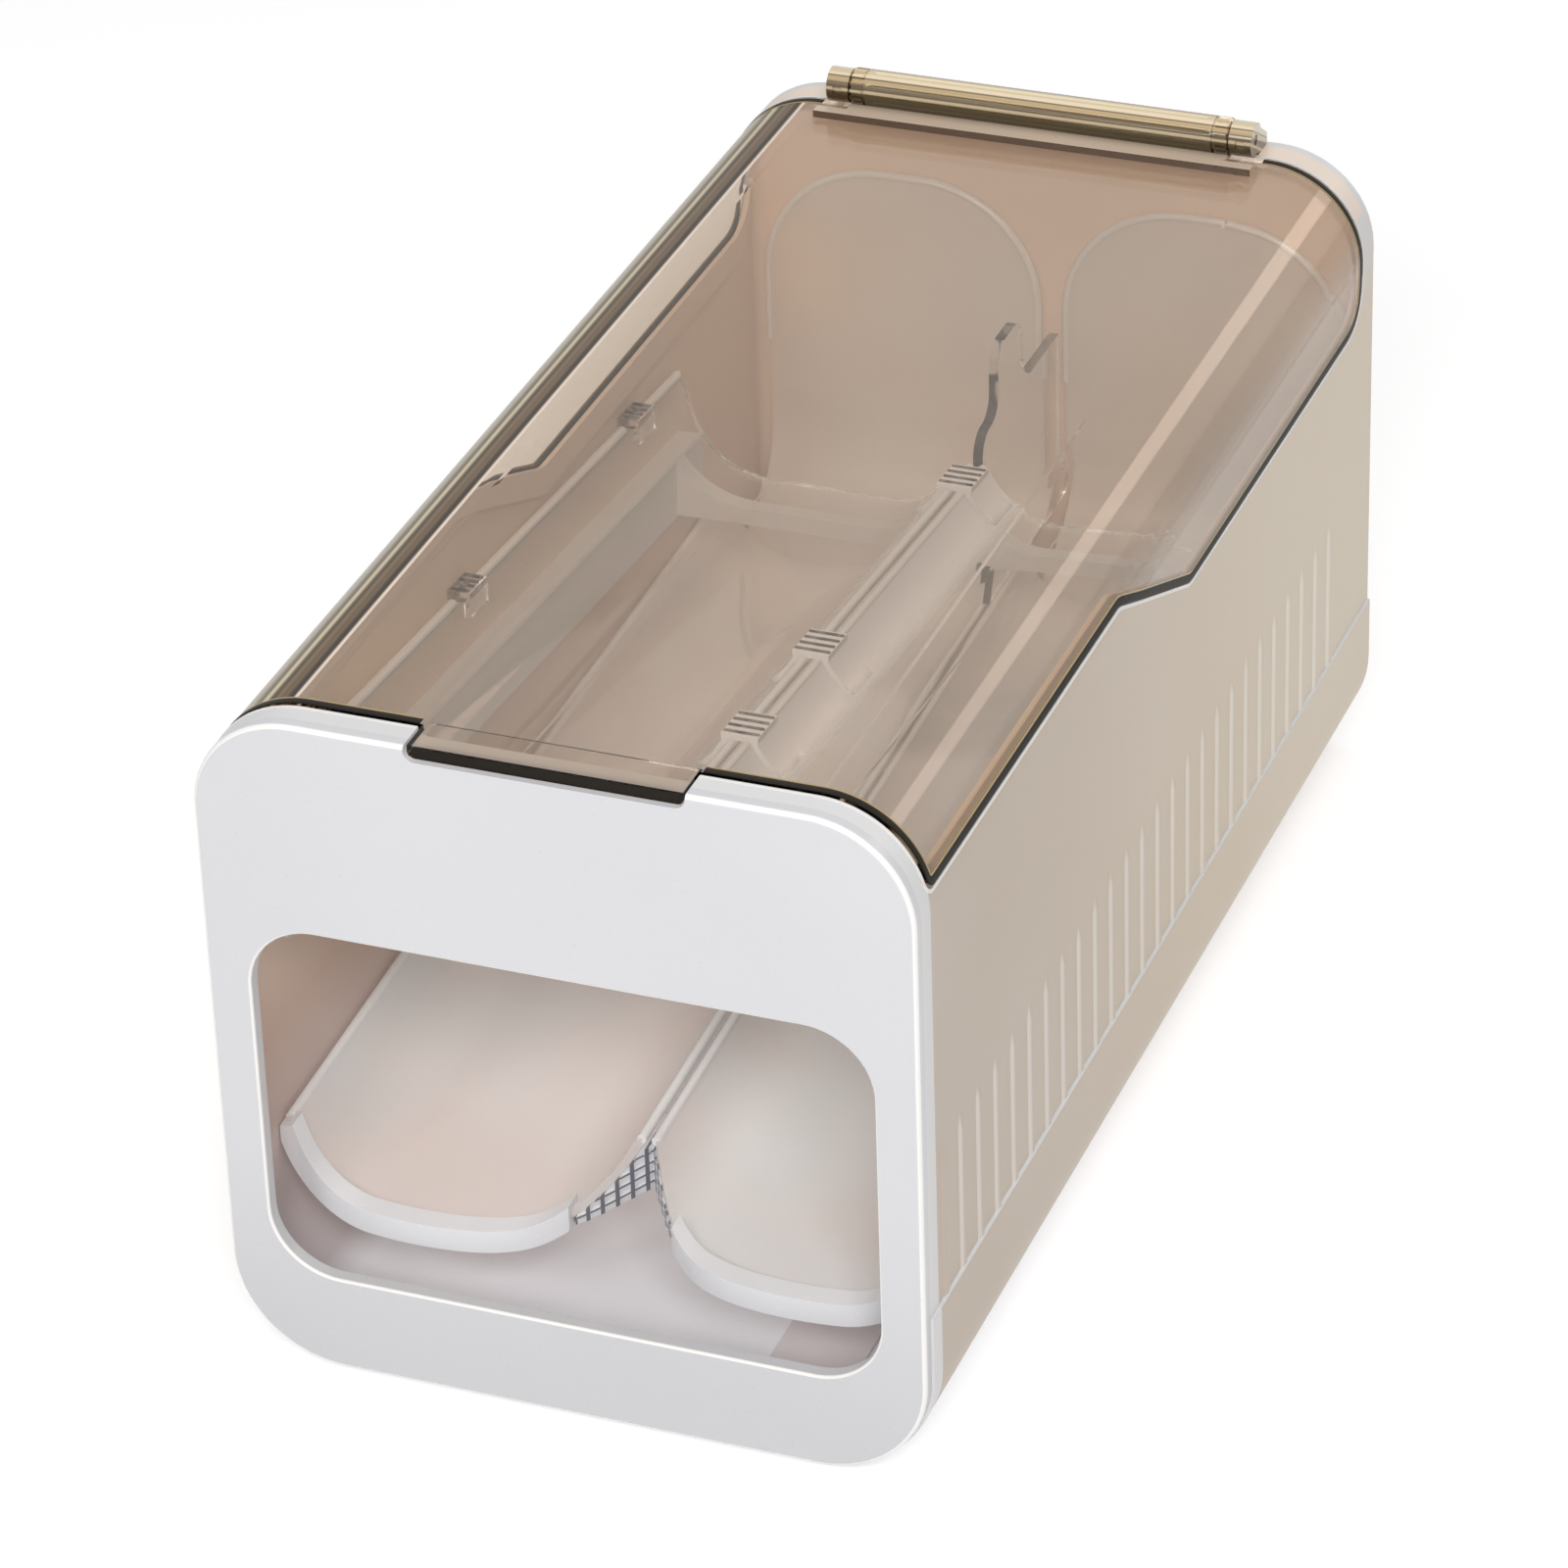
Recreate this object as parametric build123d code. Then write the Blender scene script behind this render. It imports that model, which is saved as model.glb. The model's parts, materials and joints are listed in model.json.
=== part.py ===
from build123d import *

import os
from math import cos, hypot, radians, tan

# Two-tier rolling egg dispenser with a hinged see-through lid, in millimetres.
# X runs across the width, Y from the front (negative) to the back, Z up.
# The origin is in the middle of the footprint, on the surface it stands on.

# Body shell: a rounded box tube with a back wall and an arch at each end
WIDTH = 160.0
DEPTH = 322.0
HEIGHT = 163.5
TOP_RADIUS = 23.5
BOTTOM_RADIUS = 25.5
WALL = 2.4
BACK_WALL = 2.6
FRONT_RIM_DEPTH = 5.1
FRONT_RIM_BAND = 5.0
BACK_RIM_DEPTH = 9.0
INNER_CORNER_RADIUS = 3.4

# Side walls: high in front, with a sloped step down to the low rear part
FRONT_EDGE_HEIGHT = 144.5
REAR_EDGE_HEIGHT = 124.5
STEP_START = 131.0
STEP_END = 179.0
STEP_RADIUS = 9.0
FRONT_EDGE_RADIUS = 3.0
REAR_EDGE_RADIUS = 12.0
TONGUE_RISE = 2.0
TONGUE_ROOT = 5.0
TONGUE_THICKNESS = 1.2
TONGUE_GAP = 0.4

# Plinth and the field of thin upright ribs above it
PLINTH_HEIGHT = 43.0
PLINTH_PROUD = 0.6
RIB_COUNT = 26
RIB_PITCH = 11.0
RIB_START = 13.0
RIB_RADIUS = 3.2
RIB_PROUD = 0.55
RIB_TOP = 89.0
RIB_TIP_RUN = 11.0

# Front panel with its window, finger notch and snap hooks
PANEL_THICKNESS = 3.4
PANEL_EDGE_RADIUS = 1.3
WINDOW_WIDTH = 140.0
WINDOW_SILL = 25.0
WINDOW_HEAD = 113.0
WINDOW_RADIUS = 15.5
WINDOW_EDGE_RADIUS = 0.8
NOTCH_WIDTH = 62.0
NOTCH_DEPTH = 3.4
NOTCH_RADIUS = 2.6
HOOK_WIDTH = 8.0
HOOK_THICKNESS = 1.6
HOOK_BARB = 0.8
HOOK_BARB_LENGTH = 1.3
HOOK_GAP = 0.1
HOOK_SIDE_SPACE = 35.0
HOOK_SIDE_HEIGHT = 128.0

# Lid
LID_THICKNESS = 2.4
LID_FRONT_GAP = 1.2
LID_BACK_GAP = 0.7
LID_EDGE_GAP = 0.3
TAB_SIDE_GAP = 0.6
TAB_SETBACK = 1.0
TAB_THICKNESS = 3.0
TAB_RADIUS = 1.5

# Lid hinge on the back arch
HINGE_SETBACK = 10.0
HINGE_RISE = 5.0
BARREL_RADIUS = 4.6
BARREL_SIDE_SPACE = 32.5
BARREL_BORE_GAP = 0.08
PIN_RADIUS = 1.3
PIN_END_SETBACK = 0.7
LUG_RADIUS = 4.2
LUG_THICKNESS = 5.5
LUG_GAP = 0.5
LUG_BORE_GAP = 0.02
LUG_FOOT_FRONT = 1.3
LUG_FOOT_BACK = 1.0
LUG_FOOT_HEIGHT = 3.0
LUG_POCKET = 2.2
LUG_POCKET_DEPTH = 0.8
LEAF_THICKNESS = 1.8
LEAF_FRONT = 19.5
LEAF_OVERHANG = 1.5
LEAF_BACK_GAP = 0.4
LEAF_RELIEF = 6.5

# Egg lanes: two clear troughs side by side on each tier
LANE_THICKNESS = 2.0
LANE_RADIUS = 22.0
LANE_WALL_GAP = 0.4
RIDGE_OFFSET = 1.6
RIDGE_SPREAD = 7.0
RIDGE_RISE = 13.0
LANE_WALL_SPREAD = 7.5

# Upper tier, falling to the back
UPPER_FLOOR = 102.0
UPPER_START = 22.0
UPPER_BACK_SPACE = 60.0
UPPER_SLOPE_DEGREES = -4.4
UPPER_WALL_RISE = 26.0
UPPER_END_WALL = 2.0

# Lower tier, falling to the front
LOWER_FLOOR = 29.3
LOWER_START = 18.0
LOWER_BACK_SPACE = 35.0
LOWER_SLOPE_DEGREES = 3.4
LOWER_WALL_RISE = 17.0

# Front edge of a lower lane seen from above: share of the way from the ridge
# to the side wall, and how far the edge stands back there
EDGE_SETBACKS = (
    (0.00, 30.0),
    (0.09, 18.5),
    (0.18, 9.5),
    (0.30, 3.2),
    (0.50, 0.0),
    (0.75, 1.2),
    (1.00, 6.5),
)

# Egg stops clipped on the front edge of the lower lanes
STOP_WIDTH = 5.6
STOP_WALL = 2.2
STOP_GRIP = 3.0
STOP_FIT = 0.03
STOP_END_GAP = 0.3
STOP_SIDE_GAP = 0.3
STOP_RIDGE_SPACE = 12.0

# Saddle clips that join the lanes along their ridge
CLIP_THICKNESS = 1.4
CLIP_GAP = 0.06
CLIP_DROP = 7.0
UPPER_CLIP_LENGTH = 12.0
UPPER_CLIPS_FROM_START = (26.0, 90.0, 134.0)
UPPER_CLIP_FROM_END = 10.0

# Ribbed cap that closes the front end of the lower ridge from below
CAP_REACH = 11.6
CAP_DEPTH = 6.0
CAP_LOW = -1.0
CAP_RIB_COUNT = 5
CAP_RIB_WIDTH = 0.9
CAP_RIB_PROUD = 0.6
CAP_BAR_HEIGHTS = (0.5, 3.0, 5.5)
CAP_BAR_HEIGHT = 0.8

# Clips on the side walls that hold the upper lanes down
SIDE_CLIPS_FROM_START = (38.0, 109.0)
SIDE_CLIP_FROM_END = 30.0
SIDE_CLIP_LENGTH = 10.0
SIDE_CLIP_REACH = 5.6
SIDE_CLIP_LIP = 1.5
SIDE_CLIP_LIP_DROP = 4.0
SIDE_CLIP_CAP = 2.4
SIDE_CLIP_GAP = 0.1

# Rails, cross beams and cradles under the lanes
RAIL_DEPTH = 6.2
RAIL_DROP = 6.0
RAIL_RISE = 10.0
SEAT_GAP = 0.06
BEAM_THICKNESS = 5.0
BEAM_DROP = 5.5
BEAM_RIDGE_GAP = 3.0
BEAM_FROM_START = 12.0
BEAM_FROM_END = 14.0
CRADLE_THICKNESS = 3.0
CRADLES_FROM_START = {"front": 94.0, "middle": 178.0}
CRADLE_FROM_END = 5.0
CRADLE_GAP = 0.1

# Rear chutes that turn an egg down to the lower tier
CHUTE_THICKNESS = 1.8
CHUTE_INNER = 3.6
CHUTE_SIDE_GAP = 3.6
CHUTE_TOP = 141.0
CHUTE_TOP_RADIUS = 30.0
CHUTE_BEND_RADIUS = 26.0
CHUTE_WALL_GAP = 0.3
CHUTE_LANE_GAP = 0.4

# Divider between the two drops, with a round-topped tab
DIVIDER_THICKNESS = 2.4
DIVIDER_TOP = 104.0
DIVIDER_LANE_GAP = 1.0
DIVIDER_WALL_GAP = 0.2
DIVIDER_RIDGE_GAP = 0.3
DIVIDER_TAB_TOP = 122.0
DIVIDER_TAB_SETBACK = 12.0
DIVIDER_TAB_LENGTH = 18.0
DIVIDER_CORNER = 6.0

# Feet and floor pad
FOOT_RADIUS = 7.0
FOOT_PROUD = 1.0
FOOT_RECESS = 0.6
FOOT_FIT = 0.2
FOOT_SIDE_SPACE = 36.0
FOOT_END_SPACE = 27.0
PAD_WIDTH = 20.0
PAD_DEPTH = 30.0
PAD_CORNER_GAP = 1.5
PAD_SETBACK = 24.0
PAD_THICKNESS = 0.8
PAD_RADIUS = 2.0

# Places that follow from the sizes above
FRONT = -DEPTH / 2
BACK = DEPTH / 2
BODY_FRONT = FRONT + PANEL_THICKNESS
BODY_BOTTOM = FOOT_PROUD + PLINTH_PROUD
RIM_BACK = BODY_FRONT + FRONT_RIM_DEPTH
BACK_RIM_FRONT = BACK - BACK_RIM_DEPTH
INNER_X = WIDTH / 2 - WALL
INNER_BACK = BACK - BACK_WALL
FLOOR_TOP = BODY_BOTTOM + WALL
HINGE_Y = BACK - HINGE_SETBACK
HINGE_Z = HEIGHT + HINGE_RISE
BARREL_LENGTH = WIDTH - 2 * BARREL_SIDE_SPACE
PIN_LENGTH = BARREL_LENGTH + 2 * (LUG_GAP + LUG_THICKNESS - PIN_END_SETBACK)
LANE_WALL_X = INNER_X - LANE_WALL_GAP - LANE_THICKNESS / 2
UPPER_END = DEPTH - UPPER_BACK_SPACE
LOWER_END = DEPTH - LOWER_BACK_SPACE
CHUTE_OUTER = INNER_X - CHUTE_SIDE_GAP
CLEAR_OF_BODY = 20.0

os.makedirs("parts", exist_ok=True)


def prism(sketch, y_start, y_end):
    """Extrude a sketch of the X-Z plane from y_start to y_end."""
    return Pos(0, y_start, 0) * extrude(Plane.XZ * sketch, amount=y_start - y_end)


def side_prism(sketch, x_start, x_end):
    """Extrude a sketch of the Y-Z plane from x_start to x_end."""
    return Pos(x_start, 0, 0) * extrude(Plane.YZ * sketch, amount=x_end - x_start)


def block(x_span, y_span, z_span):
    """A box between two values on each axis."""
    sizes = [end - start for start, end in (x_span, y_span, z_span)]
    middles = [(start + end) / 2 for start, end in (x_span, y_span, z_span)]
    return Pos(*middles) * Box(*sizes)


def other_side(part):
    """The same piece on the other side of the middle plane."""
    return mirror(part, about=Plane.YZ)


def arched_outline(width, z_low, z_high, low_radius, high_radius):
    """A rectangle of the X-Z plane with rounded lower and upper corners."""
    shape = Rectangle(width, z_high - z_low)
    if high_radius > 0:
        shape = fillet(shape.vertices().group_by(Axis.Y)[-1], high_radius)
    if low_radius > 0:
        shape = fillet(shape.vertices().group_by(Axis.Y)[0], low_radius)
    return Pos(0, (z_low + z_high) / 2) * shape


def body_outline(inset):
    """The body's outer outline, moved inward by inset."""
    return arched_outline(
        WIDTH - 2 * inset,
        BODY_BOTTOM + inset,
        HEIGHT - inset,
        BOTTOM_RADIUS - inset,
        TOP_RADIUS - inset,
    )


def mouth_profile(front_gap, back_gap, edge_gap):
    """Side view of the space above the side walls' stepped top edge."""
    y_front = RIM_BACK + front_gap
    y_back = BACK_RIM_FRONT - back_gap
    z_front = FRONT_EDGE_HEIGHT + edge_gap
    z_back = REAR_EDGE_HEIGHT + edge_gap
    z_top = HEIGHT + CLEAR_OF_BODY
    corners = [
        (y_front, z_top),
        (y_front, z_front),
        (FRONT + STEP_START, z_front),
        (FRONT + STEP_END, z_back),
        (y_back, z_back),
        (y_back, z_top),
    ]
    shape = make_face(Polyline(*corners, close=True))
    radii = (FRONT_EDGE_RADIUS, STEP_RADIUS, STEP_RADIUS, REAR_EDGE_RADIUS)
    for (y, z), radius in zip(corners[1:5], radii):
        corner = shape.vertices().sort_by_distance(Vector(y, z))[0]
        shape = fillet(corner, radius)
    return shape


def mouth_space(front_gap=0.0, back_gap=0.0, edge_gap=0.0):
    """The space above the side walls, as a solid across the whole width."""
    reach = WIDTH / 2 + CLEAR_OF_BODY
    return side_prism(mouth_profile(front_gap, back_gap, edge_gap), -reach, reach)


def finger_notch(width, depth, radius, y_start, y_end):
    """The shallow cut in the top of the front, or a piece that fills it."""
    shape = Rectangle(width, 2 * depth)
    shape = fillet(shape.vertices().group_by(Axis.Y)[0], radius)
    return prism(Pos(0, HEIGHT) * shape, y_start, y_end)


def foot_places():
    """Name and place of each foot."""
    x = WIDTH / 2 - FOOT_SIDE_SPACE
    y = DEPTH / 2 - FOOT_END_SPACE
    return {
        "foot_front_left": (-x, -y),
        "foot_front_right": (x, -y),
        "foot_rear_left": (-x, y),
        "foot_rear_right": (x, y),
    }


def body_ribs():
    """The softly rounded upright ribs on both side walls, each with a tapered tip."""
    x = WIDTH / 2 + RIB_PROUD - RIB_RADIUS
    low = PLINTH_HEIGHT - WALL
    tip_low = RIB_TOP - RIB_TIP_RUN
    rod = Pos(0, 0, (low + tip_low) / 2) * Cylinder(RIB_RADIUS, tip_low - low)
    tip_radius = RIB_RADIUS - RIB_PROUD - WALL / 4
    rod += Pos(0, 0, (tip_low + RIB_TOP) / 2) * Cone(RIB_RADIUS, tip_radius, RIB_TIP_RUN)
    ribs = []
    for index in range(RIB_COUNT):
        y = FRONT + RIB_START + index * RIB_PITCH
        room = block(
            (WIDTH / 2 - WALL / 2, WIDTH), (y - RIB_RADIUS, y + RIB_RADIUS), (0, HEIGHT)
        )
        rib = (Pos(x, y, 0) * rod) & room
        ribs += [rib, other_side(rib)]
    return ribs


def body_shell():
    """Side walls, floor, back wall and both arches in one moulding."""
    shell = prism(body_outline(0), BODY_FRONT, BACK)
    below_plinth = block(
        (-WIDTH, WIDTH), (BODY_FRONT, BACK), (-CLEAR_OF_BODY, PLINTH_HEIGHT)
    )
    shell += prism(body_outline(-PLINTH_PROUD), BODY_FRONT, BACK) & below_plinth
    cavity = prism(body_outline(WALL), BODY_FRONT - WALL, INNER_BACK)
    shell -= fillet(cavity.faces().sort_by(Axis.Y)[-1].edges(), INNER_CORNER_RADIUS)
    front_rim = prism(body_outline(WALL / 2), BODY_FRONT, RIM_BACK)
    front_rim -= prism(body_outline(FRONT_RIM_BAND), BODY_FRONT - WALL, RIM_BACK + WALL)
    shell += front_rim
    shell -= mouth_space()
    shell += edge_tongue()
    shell += body_ribs()
    shell -= finger_notch(NOTCH_WIDTH, NOTCH_DEPTH, NOTCH_RADIUS, FRONT, RIM_BACK + WALL)
    for x, y in foot_places().values():
        shell -= Pos(x, y, FOOT_PROUD) * Cylinder(FOOT_RADIUS + FOOT_FIT, 2 * FOOT_RECESS)
    return shell


def edge_tongue():
    """A thin tongue inside the stepped top edge, which the lid's skirt covers."""
    outer_inset = WALL + TONGUE_GAP
    inner = prism(body_outline(outer_inset + TONGUE_THICKNESS), RIM_BACK, BACK_RIM_FRONT)
    rising = prism(body_outline(outer_inset), RIM_BACK, BACK_RIM_FRONT) - inner
    rooted = prism(body_outline(WALL / 2), RIM_BACK, BACK_RIM_FRONT) - inner
    above_root = mouth_space(edge_gap=-TONGUE_ROOT)
    rising = (rising & above_root) - mouth_space(edge_gap=TONGUE_RISE)
    rooted = (rooted & above_root) - mouth_space()
    return rising + rooted


def snap_hook():
    """One snap hook, standing back from the panel with its barb pointing up."""
    reach = FRONT_RIM_DEPTH + HOOK_GAP
    profile = make_face(
        Polyline(
            (0, 0),
            (reach + HOOK_BARB_LENGTH, 0),
            (reach + HOOK_BARB_LENGTH, HOOK_THICKNESS),
            (reach, HOOK_THICKNESS + HOOK_BARB),
            (reach, HOOK_THICKNESS),
            (0, HOOK_THICKNESS),
            close=True,
        )
    )
    return Pos(0, BODY_FRONT, 0) * side_prism(profile, -HOOK_WIDTH / 2, HOOK_WIDTH / 2)


def front_panel():
    """Flat front plate with a window, a finger notch and six snap hooks."""
    plate = prism(body_outline(0), FRONT, BODY_FRONT)
    plate = fillet(plate.faces().sort_by(Axis.Y)[0].edges(), PANEL_EDGE_RADIUS)
    window = arched_outline(
        WINDOW_WIDTH, WINDOW_SILL, WINDOW_HEAD, WINDOW_RADIUS, WINDOW_RADIUS
    )
    plate -= prism(window, FRONT - WALL, BODY_FRONT + WALL)
    inner_wire = plate.faces().sort_by(Axis.Y)[0].inner_wires()[0]
    plate = fillet(inner_wire.edges(), WINDOW_EDGE_RADIUS)
    plate -= finger_notch(
        NOTCH_WIDTH, NOTCH_DEPTH, NOTCH_RADIUS, FRONT - WALL, BODY_FRONT + WALL
    )
    rim_inset = FRONT_RIM_BAND + HOOK_THICKNESS + HOOK_GAP
    hook = snap_hook()
    for side in (-1, 1):
        x = side * (WIDTH / 2 - HOOK_SIDE_SPACE)
        plate += Pos(x, 0, HEIGHT - rim_inset) * hook
        plate += Pos(x, 0, BODY_BOTTOM + rim_inset) * Rot(0, 180, 0) * hook
        x_wall = side * (WIDTH / 2 - rim_inset)
        plate += Pos(x_wall, 0, HOOK_SIDE_HEIGHT) * Rot(0, side * 90, 0) * hook
    return plate


def lid():
    """See-through cover with stepped skirts and a finger tab in front."""
    cover = prism(body_outline(0), RIM_BACK, BACK_RIM_FRONT)
    cover -= prism(body_outline(LID_THICKNESS), RIM_BACK - WALL, BACK_RIM_FRONT + WALL)
    cover &= mouth_space(LID_FRONT_GAP, LID_BACK_GAP, LID_EDGE_GAP)
    tab = finger_notch(
        NOTCH_WIDTH - 2 * TAB_SIDE_GAP,
        TAB_THICKNESS,
        TAB_RADIUS,
        FRONT + TAB_SETBACK,
        RIM_BACK + LID_FRONT_GAP + TAB_THICKNESS,
    )
    tab -= block((-WIDTH, WIDTH), (FRONT, BACK), (HEIGHT, HEIGHT + CLEAR_OF_BODY))
    return cover + tab


def hinge_cylinder(radius, x_start, x_end):
    """A cylinder along the hinge axis between two X values."""
    circle = Pos(HINGE_Y, HINGE_Z) * Circle(radius)
    return side_prism(circle, x_start, x_end)


def hinge_barrel():
    """Long barrel that turns with the lid around the pin."""
    half = BARREL_LENGTH / 2
    barrel = hinge_cylinder(BARREL_RADIUS, -half, half)
    return barrel - hinge_cylinder(PIN_RADIUS + BARREL_BORE_GAP, -half, half)


def hinge_leaf():
    """Flat strip on the lid that carries the barrel, cut back beside the lugs."""
    half = BARREL_LENGTH / 2
    half_wide = half + LUG_GAP + LUG_THICKNESS + LEAF_OVERHANG
    z_span = (HEIGHT, HEIGHT + LEAF_THICKNESS)
    y_front = BACK - LEAF_FRONT
    leaf = block((-half_wide, half_wide), (y_front, HINGE_Y - LEAF_RELIEF), z_span)
    leaf += block((-half, half), (y_front, HINGE_Y - LEAF_BACK_GAP), z_span)
    return leaf - hinge_cylinder(BARREL_RADIUS, -half, half)


def hinge_lug():
    """Right lug: a foot on the back arch and an eye around the pin's end."""
    x_start = BARREL_LENGTH / 2 + LUG_GAP
    x_end = x_start + LUG_THICKNESS
    foot_front = BACK_RIM_FRONT + LUG_FOOT_FRONT
    foot_back = BACK - LUG_FOOT_BACK
    eye = Pos(HINGE_Y, HINGE_Z) * Circle(LUG_RADIUS)
    foot = Pos((foot_front + foot_back) / 2, HEIGHT + LUG_FOOT_HEIGHT / 2)
    foot *= Rectangle(foot_back - foot_front, LUG_FOOT_HEIGHT)
    neck = make_face(
        Polyline(
            (HINGE_Y, HINGE_Z),
            (HINGE_Y, HINGE_Z + LUG_RADIUS),
            (foot_back, HEIGHT + LUG_FOOT_HEIGHT),
            (foot_back, HEIGHT),
            (foot_front, HEIGHT),
            close=True,
        )
    )
    lug = side_prism(eye + foot + neck, x_start, x_end)
    lug -= hinge_cylinder(PIN_RADIUS + LUG_BORE_GAP, x_start, x_end)
    pocket_x = (x_start + x_end) / 2
    pocket_y = HINGE_Y - LUG_RADIUS
    return lug - Pos(pocket_x, pocket_y, HINGE_Z) * Box(
        LUG_POCKET, 2 * LUG_POCKET_DEPTH, LUG_POCKET
    )


def lane_path(wall_rise):
    """Cross-section line of the right-hand lane, with its floor at zero."""
    return FilletPolyline(
        (RIDGE_OFFSET, RIDGE_RISE),
        (RIDGE_OFFSET + RIDGE_SPREAD, 0),
        (LANE_WALL_X - LANE_WALL_SPREAD, 0),
        (LANE_WALL_X, wall_rise),
        radius=LANE_RADIUS,
    )


def lane_sheet(wall_rise, extra=0.0):
    """Cross-section of the lane's sheet, thicker by extra on each face."""
    return trace(lane_path(wall_rise), line_width=LANE_THICKNESS + 2 * extra)


def lane_hollow(wall_rise):
    """Cross-section of the space inside the lane, up to its two edges."""
    path = lane_path(wall_rise)
    return make_face(path.edges() + [Line(path @ 1, path @ 0)])


def along_upper(sketch, start, end):
    """Carry a sketch along the upper tier between two distances from the front."""
    return along_slope(sketch, start, end, UPPER_FLOOR, UPPER_START, UPPER_SLOPE_DEGREES)


def along_lower(sketch, start, end):
    """Carry a sketch along the lower tier between two distances from the front."""
    return along_slope(sketch, start, end, LOWER_FLOOR, LOWER_START, LOWER_SLOPE_DEGREES)


def along_slope(sketch, start, end, floor, floor_place, slope):
    """Carry an X-Z sketch back along a slope in degrees."""
    z = floor + (start - floor_place) * tan(radians(slope))
    face = Pos(0, FRONT + start, z) * (Plane.XZ * sketch)
    direction = Vector(0, 1, tan(radians(slope)))
    return extrude(face, amount=(end - start) / cos(radians(slope)), dir=direction)


def upper_lane():
    """Right-hand upper trough with a low wall at its front end."""
    lane = along_upper(lane_sheet(UPPER_WALL_RISE), UPPER_START, UPPER_END)
    end_wall = lane_hollow(UPPER_WALL_RISE)
    return lane + along_upper(end_wall, UPPER_START, UPPER_START + UPPER_END_WALL)


def ahead_of_edge(shift):
    """The space ahead of the right-hand lower lane's front edge, moved back by shift."""
    y_start = FRONT + LOWER_START + shift
    points = [(share * INNER_X, y_start + setback) for share, setback in EDGE_SETBACKS]
    y_far = FRONT - CLEAR_OF_BODY
    edge = Spline(*points)
    rest = Polyline(points[-1], (INNER_X, y_far), (0, y_far), points[0])
    return extrude(make_face(edge.edges() + rest.edges()), amount=HEIGHT)


def lower_lane():
    """Right-hand lower trough with a curved front edge, open at both ends."""
    lane = along_lower(lane_sheet(LOWER_WALL_RISE), LOWER_START - STOP_WALL, LOWER_END)
    return lane - ahead_of_edge(0)


def egg_stop():
    """Right-hand rounded rim that clips over the lower lane's front edge."""
    start = LOWER_START - 2 * STOP_WALL
    end = LOWER_START + EDGE_SETBACKS[0][1]
    rim = along_lower(trace(lane_path(LOWER_WALL_RISE), line_width=STOP_WIDTH), start, end)
    rim = (rim & ahead_of_edge(STOP_GRIP)) - ahead_of_edge(-STOP_WALL)
    groove = along_lower(lane_sheet(LOWER_WALL_RISE, STOP_FIT), start, end)
    rim -= groove - ahead_of_edge(-STOP_END_GAP)
    room = block(
        (STOP_RIDGE_SPACE, INNER_X - STOP_SIDE_GAP), (FRONT, BACK), (0, HEIGHT)
    )
    return rim & room


def half_saddle(wall_rise, drop, thickness):
    """Cross-section of a saddle's cap and right leg along the ridge, with the floor at zero."""
    slant = hypot(RIDGE_SPREAD, RIDGE_RISE)
    corner_lift = LANE_THICKNESS / 2 * RIDGE_SPREAD / slant
    standing = LANE_THICKNESS / 2 + CLIP_GAP + thickness
    half = RIDGE_OFFSET + standing * slant / RIDGE_RISE
    low = RIDGE_RISE + corner_lift + CLIP_GAP
    high = low + thickness
    cap = Pos(0, (low + high) / 2) * Rectangle(2 * half, high - low)
    bottom = RIDGE_RISE - drop
    near_ridge = Pos(0, (bottom + high) / 2) * Rectangle(2 * (half + drop), high - bottom)
    strips = lane_sheet(wall_rise, CLIP_GAP + thickness) - lane_sheet(wall_rise, CLIP_GAP)
    leg = (strips & near_ridge).faces().sort_by(Axis.X)[-1]
    return cap + leg


def upper_ridge_clips():
    """Clear saddle clips along the ridge of the upper tier."""
    profile = half_saddle(UPPER_WALL_RISE, CLIP_DROP, CLIP_THICKNESS)
    half = UPPER_CLIP_LENGTH / 2
    places = [UPPER_START + run for run in UPPER_CLIPS_FROM_START]
    clips = []
    for place in (*places, UPPER_END - UPPER_CLIP_FROM_END):
        clip = along_upper(profile, place - half, place + half)
        clips.append(clip + other_side(clip))
    return clips


def lane_pair(sketch):
    """A sketch of the right-hand lane together with its mirror image."""
    return sketch + mirror(sketch, about=Plane.YZ)


def lower_ridge_cap():
    """Cap under the front end of the lower ridge, with a grid of ribs on its face."""
    high = RIDGE_RISE - BEAM_RIDGE_GAP
    bar = Pos(CAP_REACH / 2, (CAP_LOW + high) / 2) * Rectangle(CAP_REACH, high - CAP_LOW)
    end = LOWER_START + EDGE_SETBACKS[0][1] + 2 * CAP_DEPTH
    filling = along_lower(bar, LOWER_START, end) - lower_filled()
    filling = filling.solids().sort_by(SortBy.VOLUME)[-1]
    cap = (filling & ahead_of_edge(CAP_DEPTH)) - ahead_of_edge(0)
    front = (filling & ahead_of_edge(CAP_DEPTH / 2)) - ahead_of_edge(-CAP_RIB_PROUD)
    pitch = (CAP_REACH - CAP_RIB_WIDTH) / CAP_RIB_COUNT
    for index in range(CAP_RIB_COUNT):
        x = index * pitch + CAP_RIB_WIDTH / 2
        cap += front & block((x, x + CAP_RIB_WIDTH), (FRONT, BACK), (0, HEIGHT))
    for bar_low in CAP_BAR_HEIGHTS:
        middle = Pos(CAP_REACH / 2, bar_low + CAP_BAR_HEIGHT / 2)
        strip = middle * Rectangle(CAP_REACH, CAP_BAR_HEIGHT)
        cap += front & along_lower(strip, LOWER_START, end)
    return cap + other_side(cap)


def upper_filled():
    """The space that both upper lanes take, with a seat gap around them."""
    filled = lane_sheet(UPPER_WALL_RISE, SEAT_GAP) + lane_hollow(UPPER_WALL_RISE)
    return along_upper(lane_pair(filled), 0, DEPTH)


def lower_filled():
    """The space that both lower lanes take, with a seat gap around them."""
    filled = lane_sheet(LOWER_WALL_RISE, SEAT_GAP) + lane_hollow(LOWER_WALL_RISE)
    return along_lower(lane_pair(filled), 0, DEPTH)


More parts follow.
